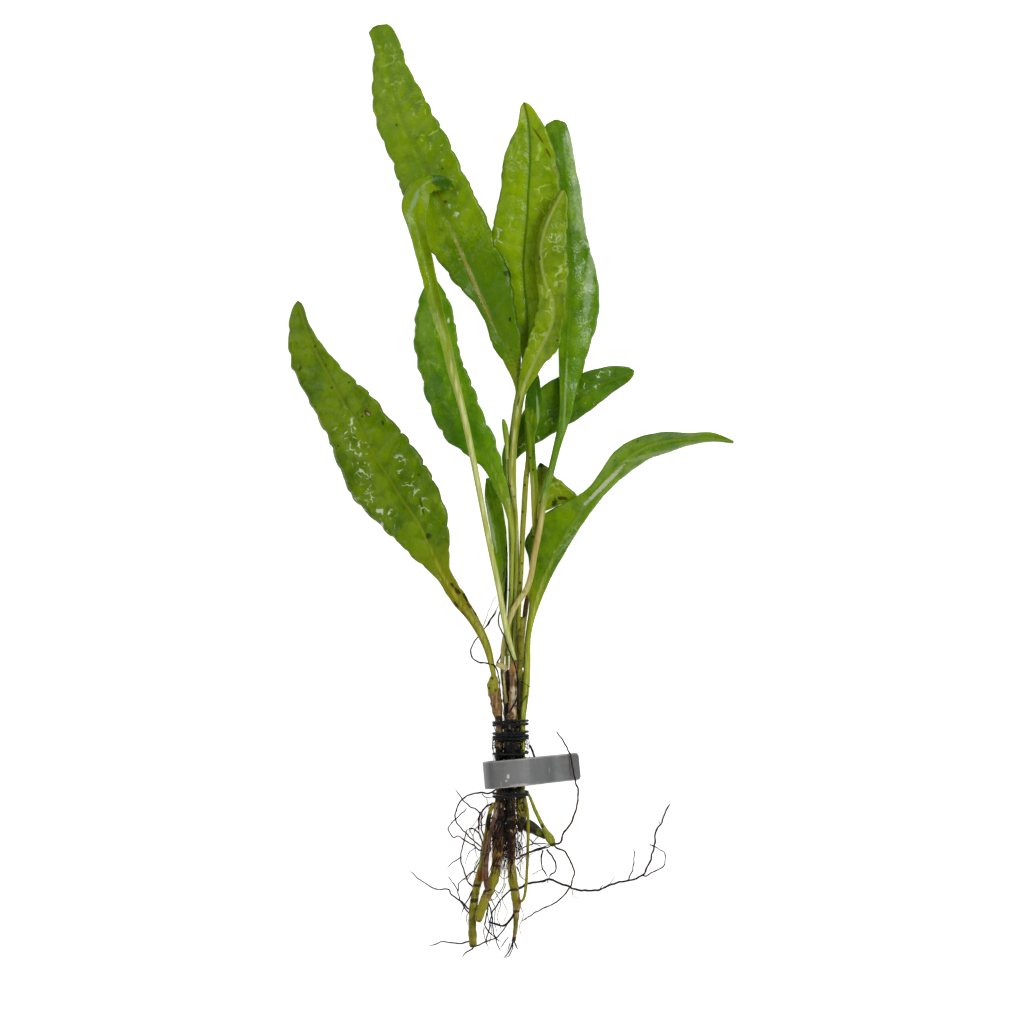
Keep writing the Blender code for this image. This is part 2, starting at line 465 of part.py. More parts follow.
# Each root from where it grows to its tip: half thickness at both ends, then x, y, z.
ROOTS = {
    "root_over_weight": (0.3, 0.2, [
        (13.0, -95.6, 2.8), (14.0, -93.0, 3.2), (16.1, -90.0, 3.6), (17.7, -85.2, 3.8),
        (18.0, -81.9, 3.8), (17.4, -79.0, 3.7), (16.6, -75.7, 3.5), (15.8, -71.4, 3.0),
        (14.4, -68.7, 2.4), (12.0, -65.2, 1.8)]),
    "root_long": (0.33, 0.22, [
        (2.6, -107.6, 1.5), (4.2, -106.5, 1.2), (7.4, -106.1, 0.9), (10.4, -105.4, 0.8),
        (12.3, -106.2, 0.7), (15.3, -107.3, 0.6), (16.9, -108.1, 0.5), (20.4, -108.4, 0.45),
        (23.4, -108.4, 0.5), (26.9, -106.8, 0.6), (33.9, -105.2, 0.6), (35.5, -104.1, 0.6),
        (37.1, -101.4, 0.6), (38.2, -98.4, 0.6), (38.7, -95.7, 0.6), (39.0, -92.7, 0.6),
        (40.4, -90.3, 0.6), (42.0, -86.5, 0.5), (43.1, -84.6, 0.4)]),
    "root_long_twig": (0.2, 0.14, [
        (32.0, -104.5, 0.7), (32.8, -102.5, 0.8), (33.3, -97.9, 0.6), (32.5, -97.1, 0.5)]),
    "root_long_hook": (0.2, 0.14, [
        (36.5, -104.4, 0.7), (38.2, -103.5, 0.9), (40.6, -102.2, 1.2), (41.7, -100.3, 1.4),
        (40.9, -97.9, 1.5), (38.7, -96.5, 1.5), (37.4, -96.0, 1.3)]),
    "root_bow": (0.26, 0.18, [
        (12.3, -97.0, 2.0), (14.2, -97.6, 1.9), (15.8, -100.3, 1.8), (16.9, -103.0, 1.7),
        (16.6, -105.4, 1.6), (15.8, -107.3, 1.5), (14.7, -109.2, 1.2), (12.3, -111.4, 0.9),
        (10.4, -112.5, 0.8), (8.0, -113.5, 0.7), (5.3, -115.2, 0.5), (2.8, -116.7, 0.4)]),
    "root_right_outer": (0.26, 0.2, [
        (9.5, -97.3, 1.8), (10.9, -99.0, 1.9), (12.0, -101.4, 1.9), (11.7, -103.3, 1.8),
        (10.5, -104.4, 1.7)]),
    "root_right_inner": (0.24, 0.18, [
        (8.5, -97.5, 1.6), (8.0, -100.0, 1.7), (8.5, -102.5, 1.8), (8.9, -103.6, 1.8)]),
    "root_right_upper": (0.24, 0.18, [
        (1.2, -99.9, 3.7), (4.7, -98.1, 4.4), (7.7, -97.3, 4.2), (9.4, -96.8, 3.6)]),
    "root_left_bow": (0.24, 0.18, [
        (-6.4, -82.1, 3.6), (-8.0, -81.9, 3.2), (-11.2, -82.5, 2.4), (-13.4, -83.8, 1.8),
        (-14.7, -86.0, 1.4), (-15.3, -88.2, 1.2), (-15.0, -89.5, 1.2), (-13.4, -91.9, 1.2),
        (-11.2, -94.1, 1.4), (-9.6, -95.4, 1.6), (-8.6, -96.3, 1.9)]),
    "root_left_upper": (0.24, 0.15, [
        (-8.9, -92.0, 1.9), (-8.8, -89.5, 1.8), (-8.7, -87.6, 1.7), (-9.4, -86.6, 1.5),
        (-10.9, -86.0, 1.2), (-12.3, -84.7, 0.9), (-13.6, -83.3, 0.7), (-15.3, -80.9, 0.5)]),
    "root_left_outer": (0.22, 0.16, [
        (-8.7, -97.6, 1.3), (-9.9, -96.4, 2.2), (-12.0, -95.2, 2.1), (-14.2, -93.8, 2.0),
        (-15.5, -94.1, 2.0), (-16.3, -93.3, 2.0), (-17.1, -91.9, 2.0), (-16.6, -90.6, 2.1),
        (-15.3, -89.2, 2.1), (-13.4, -87.6, 2.1), (-12.0, -85.9, 2.0)]),
    "root_left_red": (0.26, 0.18, [
        (-5.2, -84.9, 5.2), (-6.6, -85.5, 5.7), (-7.7, -86.6, 5.2), (-8.2, -88.4, 4.4),
        (-8.1, -90.8, 3.6), (-7.8, -92.8, 3.0)]),
    "root_left_arc": (0.22, 0.16, [
        (-11.2, -106.8, 0.9), (-12.0, -105.4, 0.6), (-12.8, -103.3, 0.5), (-13.6, -100.6, 0.4),
        (-13.6, -98.1, 0.4), (-12.8, -94.9, 0.4), (-12.3, -92.9, 0.4)]),
    "root_left_wave": (0.22, 0.16, [
        (-11.5, -91.7, 0.9), (-10.1, -91.9, 0.9), (-8.8, -93.0, 1.0), (-8.0, -94.9, 1.1),
        (-7.9, -96.3, 1.1), (-8.2, -98.1, 0.9), (-8.7, -100.8, 0.8), (-10.3, -103.0, 0.9),
        (-12.3, -104.9, 1.3), (-14.2, -106.5, 1.0), (-14.4, -108.4, 0.7), (-14.7, -109.2, 0.5)]),
    "root_left_twig": (0.18, 0.12, [
        (-14.2, -99.8, 0.5), (-16.1, -101.1, 0.5), (-17.7, -102.5, 0.4)]),
    "root_low_long": (0.24, 0.14, [
        (-11.9, -113.3, 0.9), (-12.8, -112.2, 0.7), (-14.4, -110.8, 0.6), (-16.3, -109.5, 0.5),
        (-17.1, -108.1, 0.5), (-20.4, -108.1, 0.5), (-22.8, -106.8, 0.5), (-25.2, -105.2, 0.45),
        (-27.7, -103.0, 0.4)]),
    "root_low_short": (0.2, 0.14, [
        (-12.0, -114.0, 1.5), (-12.8, -112.9, 1.5), (-13.9, -110.8, 1.4), (-15.0, -107.6, 1.2),
        (-17.4, -104.4, 0.6)]),
    "root_low_cross": (0.2, 0.14, [
        (-11.0, -109.2, 2.0), (-11.7, -110.8, 2.1), (-12.8, -112.7, 2.2), (-13.6, -114.9, 1.4)]),
    "root_low_teal": (0.24, 0.14, [
        (-11.9, -122.4, 0.9), (-13.9, -122.7, 0.6), (-15.8, -122.7, 0.5), (-17.7, -122.2, 0.45),
        (-19.8, -122.7, 0.4), (-22.5, -123.5, 0.35)]),
    "root_end_left": (0.24, 0.14, [
        (-10.6, -124.2, 1.0), (-12.4, -125.3, 0.6), (-13.5, -126.7, 0.35)]),
    "root_end_cross": (0.22, 0.16, [
        (-9.0, -123.2, 0.7), (-7.2, -122.4, 0.6), (-4.5, -121.4, 0.5), (-2.6, -119.7, 0.5),
        (-1.2, -117.6, 0.5), (-0.5, -116.4, 0.6)]),
    "root_inner_long": (0.24, 0.16, [
        (-0.7, -108.6, 2.1), (-2.6, -110.6, 2.1), (-4.7, -113.5, 2.1), (-5.8, -116.8, 2.1),
        (-5.9, -118.4, 2.1), (-6.6, -120.8, 1.7), (-6.9, -123.3, 1.2)]),
    "root_inner_short": (0.22, 0.16, [
        (-6.4, -113.4, 2.5), (-6.8, -115.2, 1.9), (-7.2, -117.9, 1.4), (-6.1, -119.5, 1.1),
        (-4.2, -121.4, 1.1), (-2.6, -122.4, 0.9)]),
    "root_inner_top": (0.22, 0.14, [
        (-5.6, -113.4, 3.1), (-5.2, -117.0, 3.0), (-4.7, -120.3, 2.2), (-4.2, -121.9, 1.8),
        (-3.6, -123.5, 1.2), (-2.8, -125.2, 0.5)]),
    "root_end_long": (0.26, 0.14, [
        (0.2, -122.9, 0.8), (-0.9, -125.3, 0.5), (-2.3, -126.9, 0.35)]),
    "root_end_right": (0.24, 0.14, [
        (0.9, -122.9, 0.8), (2.0, -124.8, 0.4)]),
    "root_crown_loop": (0.24, 0.16, [
        (-6.9, -46.8, 5.9), (-9.0, -46.6, 5.4), (-10.9, -44.7, 4.6), (-10.9, -42.8, 4.0),
        (-9.6, -40.6, 3.8), (-7.4, -37.7, 4.0), (-5.5, -35.2, 4.3), (-3.9, -32.5, 4.6)]),
    "root_crown_hair": (0.22, 0.16, [
        (-0.1, -59.3, 8.3), (1.2, -57.1, 8.5), (1.8, -53.6, 8.3), (1.5, -49.8, 8.5),
        (0.9, -47.3, 9.3), (-0.7, -43.1, 10.0), (-1.9, -39.9, 9.6), (-3.4, -36.4, 7.4),
        (-3.4, -34.0, 6.0), (-1.7, -29.0, 4.6), (-1.2, -20.7, 3.8), (-1.3, -14.4, 3.4)]),
}

# Thread windings: y of the first turn, and the number of turns towards the roots
WINDINGS = {
    "thread_upper": (-62.2, 2.0),
    "thread_middle": (-65.3, 3.1),
    "thread_waist": (-70.9, 1.0),
    "thread_lower": (-81.6, 2.0),
}
THREAD_END = [(4.9, -69.0, 5.6), (5.5, -70.2, 4.9), (5.9, -71.5, 4.0), (6.2, -72.2, 3.2)]


def clear_scene():
    for thing in list(bpy.data.objects):
        bpy.data.objects.remove(thing, do_unlink=True)


def make_finishes():
    """One Principled material for each finish."""
    made = {}
    for name, (colour, roughness, metallic) in FINISHES.items():
        material = bpy.data.materials.new(name)
        material.use_nodes = True
        shader = material.node_tree.nodes["Principled BSDF"]
        shader.inputs["Base Color"].default_value = (*colour, 1.0)
        shader.inputs["Roughness"].default_value = roughness
        shader.inputs["Metallic"].default_value = metallic
        made[name] = material
    return made


def smooth(value, low, high):
    """0 below low, 1 above high, with a soft step between them."""
    share = min(max((value - low) / (high - low), 0.0), 1.0)
    return share * share * (3.0 - 2.0 * share)


def sample(rows, step_of):
    """Rows of numbers read along a smooth curve through the given rows.

    Each answer is the row, its distance from the first and its direction seen from above.
    """
    stops = [0.0]
    for first, second in zip(rows, rows[1:]):
        stops.append(stops[-1] + math.dist(first[:3], second[:3]))
    last = len(rows) - 1
    slopes = []
    for index in range(len(rows)):
        low, high = max(index - 1, 0), min(index + 1, last)
        span = stops[high] - stops[low]
        slopes.append([(b - a) / span for a, b in zip(rows[low], rows[high])])
    answer = []
    for index in range(last):
        length = stops[index + 1] - stops[index]
        count = max(1, round(length / step_of(rows[index], rows[index + 1])))
        for part in range(count + (index == last - 1)):
            t = part / count
            mix = (2 * t**3 - 3 * t**2 + 1, t**3 - 2 * t**2 + t, 3 * t**2 - 2 * t**3, t**3 - t**2)
            rate = (6 * t**2 - 6 * t, 3 * t**2 - 4 * t + 1, 6 * t - 6 * t**2, 3 * t**2 - 2 * t)
            knots = list(zip(rows[index], slopes[index], rows[index + 1], slopes[index + 1]))
            row = [a * mix[0] + length * m * mix[1] + b * mix[2] + length * n * mix[3]
                   for a, m, b, n in knots]
            turn = [a * rate[0] + length * m * rate[1] + b * rate[2] + length * n * rate[3]
                    for a, m, b, n in knots[:2]]
            answer.append((row, stops[index] + t * length, Vector((*turn, 0.0)).normalized()))
    return answer


def loft(sections, sides):
    """A closed body through sections, each a function from an angle to a point."""
    mesh = bmesh.new()
    place = mesh.verts.layers.int.new("place")
    ring = bmesh.ops.create_circle(mesh, cap_ends=True, segments=sides, radius=1.0)["verts"]
    for index, corner in enumerate(ring):
        corner[place] = index
        corner.co = sections[0](math.tau * index / sides)
    face = mesh.faces[:][0]
    used = []
    for section in sections[1:]:
        grown = bmesh.ops.extrude_face_region(mesh, geom=[face])["geom"]
        used.append(face)
        face = next(item for item in grown if isinstance(item, bmesh.types.BMFace))
        for corner in face.verts:
            corner.co = section(math.tau * corner[place] / sides)
    bmesh.ops.delete(mesh, geom=used[1:], context="FACES_ONLY")
    bmesh.ops.triangulate(mesh, faces=mesh.faces[:])
    bmesh.ops.recalc_face_normals(mesh, faces=mesh.faces[:])
    return mesh


def add_object(name, mesh, material):
    """A smooth shaded object from a mesh in millimetres."""
    bmesh.ops.scale(mesh, vec=(MM, MM, MM), verts=mesh.verts[:])
    data = bpy.data.meshes.new(name)
    mesh.to_mesh(data)
    mesh.free()
    data.shade_smooth()
    data.materials.append(material)
    thing = bpy.data.objects.new(name, data)
    bpy.context.scene.collection.objects.link(thing)
    return thing


def leaf_section(row, distance, heading, total):
    """The outline of a leaf at one place: round on the stalk, thin with a rib on the blade."""
    x, y, z, left, right, rise_left, rise_right = row
    across = Vector((-heading.y, heading.x, 0.0))
    along = distance / total
    rib = min(min(left, right), 0.9) * (1.0 - along) + RIB_TIP_HALF * along
    blade = smooth((left + right) / 2.0, STALK_LIMIT * rib, BLADE_LIMIT * rib)

    def point(angle):
        side, up = math.cos(angle), math.sin(angle)
        width, rise = (left, rise_left) if side > 0 else (right, rise_right)
        reach = abs(side)
        round_height = min(left, right, 1.0) * up
        flat_height = math.copysign(BLADE_HALF, up) if abs(up) > 0.01 else 0.0
        if reach < 0.01:
            flat_height = math.copysign(max(rib * 0.75, RIB_TIP_HALF), up)
        wave = math.sin(math.tau * distance / RIPPLE_LENGTH + (1.3 if side > 0 else 3.9))
        lift = rise * reach**1.4 + RIPPLE_HEIGHT * wave * reach**2 * blade * min(width / 6.0, 1.0)
        height = round_height * (1.0 - blade) + flat_height * blade + lift
        return Vector((x, y, z + height)) + across * (side * width)

    return point


def make_leaf(name, rows, material):
    def step_of(first, second):
        narrow = max(first[3] + first[4], second[3] + second[4]) < 2.4
        return STALK_STEP if narrow else BLADE_STEP

    places = sample(rows, step_of)
    total = places[-1][1]
    sections = [leaf_section(row, distance, heading, total) for row, distance, heading in places]
    return add_object(name, loft(sections, LEAF_SIDES), material)


def stem_section(row, heading):
    x, y, z, half_width, half_height = row
    across = Vector((-heading.y, heading.x, 0.0))

    def point(angle):
        lift = Vector((0.0, 0.0, math.sin(angle) * half_height))
        return Vector((x, y, z)) + across * (math.cos(angle) * half_width) + lift

    return point


def make_stem(name, rows, material):
    places = sample(rows, lambda first, second: 6.0)
    sections = [stem_section(row, heading) for row, distance, heading in places]
    return add_object(name, loft(sections, STEM_SIDES), material)


def make_strand(name, points, radii, material, resolution):
    """A round strand with closed ends along the given points."""
    curve = bpy.data.curves.new(name, "CURVE")
    curve.dimensions = "3D"
    curve.bevel_depth = MM
    curve.bevel_resolution = resolution
    curve.use_fill_caps = True
    spline = curve.splines.new("POLY")
    spline.points.add(len(points) - 1)
    for knot, point, radius in zip(spline.points, points, radii):
        knot.co = (point[0] * MM, point[1] * MM, point[2] * MM, 1.0)
        knot.radius = radius
    curve.materials.append(material)
    thing = bpy.data.objects.new(name, curve)
    bpy.context.scene.collection.objects.link(thing)
    return thing


def make_root(name, base, tip, points, material):
    last = len(points) - 1
    radii = [base + (tip - base) * index / last for index in range(last + 1)]
    return make_strand(name, points, radii, material, 1)


def turn_point(angle, y):
    """A point of a thread turn around the bundle."""
    power = 2.0 / TURN_SQUARENESS
    side, up = math.cos(angle), math.sin(angle)
    x = TURN_CENTRE[0] + TURN_HALF_WIDTH * math.copysign(abs(side)**power, side)
    z = TURN_CENTRE[1] + TURN_HALF_HEIGHT * math.copysign(abs(up)**power, up)
    return (x, y, z)


def make_winding(name, start, turns, material):
    count = round(TURN_POINTS * turns)
    points = []
    for index in range(count + 1):
        angle = -math.pi / 2 + math.tau * index / TURN_POINTS
        points.append(turn_point(angle, start - TURN_PITCH * index / TURN_POINTS))
    return make_strand(name, points, [THREAD_RADIUS] * len(points), material, 0)


def strip_path():
    """The strip's middle line seen from the roots: x and z, from the hidden end on the ground,
    round the left of the bundle and back over it."""
    ground = STRIP_THICKNESS / 2
    middle = (ground + STRIP_FRONT_HEIGHT) / 2
    rise = (STRIP_FRONT_HEIGHT - ground) / 2
    path = [(STRIP_LENGTH_RIGHT, ground), (8.0, ground), (STRIP_BEND_CENTRE_X, ground)]
    for index in range(1, 8):
        angle = -math.pi / 2 - math.pi * index / 8
        path.append((STRIP_BEND_CENTRE_X + STRIP_BEND_HALF_WIDTH * math.cos(angle),
                     middle + rise * math.sin(angle)))
    path += [(STRIP_BEND_CENTRE_X, STRIP_FRONT_HEIGHT), (0.5, 9.45), (3.4, 9.2), (5.6, 8.3),
             (7.6, 6.6), (9.6, 4.5), (11.6, 2.9), (13.8, 2.1), (STRIP_FRONT_END, 1.95)]
    return path


def make_strip(name, material):
    """A ribbon along the path, thickened, and turned a little on the ground."""
    mesh = bmesh.new()
    path = strip_path()
    half = STRIP_WIDTH / 2
    ends = [mesh.verts.new((path[0][0], y, path[0][1])) for y in (-half, half)]
    edge = mesh.edges.new(ends)
    for x, z in path[1:]:
        grown = bmesh.ops.extrude_edge_only(mesh, edges=[edge])["geom"]
        moved = [item for item in grown if isinstance(item, bmesh.types.BMVert)]
        edge = next(item for item in grown if isinstance(item, bmesh.types.BMEdge)
                    and set(item.verts) == set(moved))
        for corner in moved:
            corner.co.x, corner.co.z = x, z
    bmesh.ops.recalc_face_normals(mesh, faces=mesh.faces[:])
    thing = add_object(name, mesh, material)
    wall = thing.modifiers.new("wall", "SOLIDIFY")
    wall.thickness = STRIP_THICKNESS * MM
    wall.offset = 0.0
    wall.use_even_offset = True
    thing.location = (STRIP_PLACE[0] * MM, STRIP_PLACE[1] * MM, 0.0)
    thing.rotation_euler = (0.0, 0.0, STRIP_TURN)
    return thing


def main():
    clear_scene()
    finishes = make_finishes()
    for name, rows in LEAVES.items():
        make_leaf(name, rows, finishes["pale_stalk" if name in PALE_LEAVES else "leaf"])
    for name, rows in STEMS.items():
        make_stem(name, rows, finishes["old_stem" if name in OLD_STEMS else "rhizome"])
    for name, (base, tip, points) in ROOTS.items():
        make_root(name, base, tip, points, finishes["root"])
    for name, (start, turns) in WINDINGS.items():
        make_winding(name, start, turns, finishes["thread"])
    make_strand("thread_end", THREAD_END, [THREAD_RADIUS] * len(THREAD_END), finishes["thread"], 0)
    make_strip("lead_strip", finishes["lead"])


main()
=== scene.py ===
"""Finish of a java fern that lies on a studio floor: leaves, rhizomes, roots, thread and weight.

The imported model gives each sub-part's place. Every piece here is shaped in millimetres with
the same rows as the model's solids, refined with veins, rind, twist and brush marks, and
turned to metres when it is done. +Y points to the leaf tips and +Z up from the floor.
"""
from __future__ import annotations

import logging
import math
import random
from dataclasses import dataclass, field
from enum import Enum
from typing import Any, Callable, Iterable, Sequence

import bmesh
import bpy
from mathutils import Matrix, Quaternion, Vector, noise
from mathutils.bvhtree import BVHTree


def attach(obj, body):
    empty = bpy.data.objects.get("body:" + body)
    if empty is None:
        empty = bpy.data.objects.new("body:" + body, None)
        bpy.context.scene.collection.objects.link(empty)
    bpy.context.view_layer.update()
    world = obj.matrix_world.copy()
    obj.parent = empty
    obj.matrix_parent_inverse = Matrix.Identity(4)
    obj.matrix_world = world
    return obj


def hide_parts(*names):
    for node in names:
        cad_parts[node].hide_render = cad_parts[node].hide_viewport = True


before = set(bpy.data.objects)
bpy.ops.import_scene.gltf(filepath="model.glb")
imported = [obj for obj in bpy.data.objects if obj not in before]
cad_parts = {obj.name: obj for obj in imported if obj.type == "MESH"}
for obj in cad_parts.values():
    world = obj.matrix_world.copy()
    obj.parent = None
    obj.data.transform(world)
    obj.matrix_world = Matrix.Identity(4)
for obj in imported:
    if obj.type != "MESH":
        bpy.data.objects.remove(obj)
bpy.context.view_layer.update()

log = logging.getLogger("java_fern")

MM = 0.001

# A row of a leaf: x, y, z, width left and right of the midrib, rise of the left and right margin
LeafRow = tuple[float, float, float, float, float, float, float]
# A row of a stem: x, y, z, half width, half height
StemRow = tuple[float, float, float, float, float]
Point = tuple[float, float, float]


class Slot(Enum):
    """Material slots, one for each kind of finish."""

    LEAF = "leaf"
    PALE_STALK = "pale_stalk"
    RHIZOME = "rhizome"
    OLD_STEM = "old_stem"
    ROOT = "root"
    THREAD = "thread"
    LEAD = "lead"


class Cap(Enum):
    """How a strand ends."""

    POINTED = "pointed"
    BLUNT = "blunt"


def linear(colour: str) -> tuple[float, float, float, float]:
    """Turns an sRGB hex colour to linear light.

    Args:
        colour: the colour as "#rrggbb".

    Returns:
        Red, green, blue and an alpha of 1.
    """
    parts = [int(colour[start:start + 2], 16) / 255.0 for start in (1, 3, 5)]
    red, green, blue = (part / 12.92 if part <= 0.04045 else ((part + 0.055) / 1.055)**2.4
                        for part in parts)
    return (red, green, blue, 1.0)


def smooth(value: float, low: float, high: float) -> float:
    """Gives 0 below low and 1 above high, with a soft step between them."""
    share = min(max((value - low) / (high - low), 0.0), 1.0)
    return share * share * (3.0 - 2.0 * share)


def mixed(first: float, second: float, share: float) -> float:
    """Gives the value that lies share of the way from first to second."""
    return first + (second - first) * share


def add_node(tree: bpy.types.NodeTree, kind: str, settings: dict[str, Any] | None = None,
             inputs: dict[int | str, Any] | None = None) -> bpy.types.Node:
    """Adds one shader node.

    Args:
        tree: the material's node tree.
        kind: the node's type name without its "ShaderNode" prefix.
        settings: properties to set on the node.
        inputs: sockets by name or number; a socket as value is linked and any other value is set.

    Returns:
        The new node.
    """
    made = tree.nodes.new("ShaderNode" + kind)
    for name, value in (settings or {}).items():
        setattr(made, name, value)
    for key, value in (inputs or {}).items():
        if isinstance(value, bpy.types.NodeSocket):
            tree.links.new(value, made.inputs[key])
        else:
            made.inputs[key].default_value = value
    return made


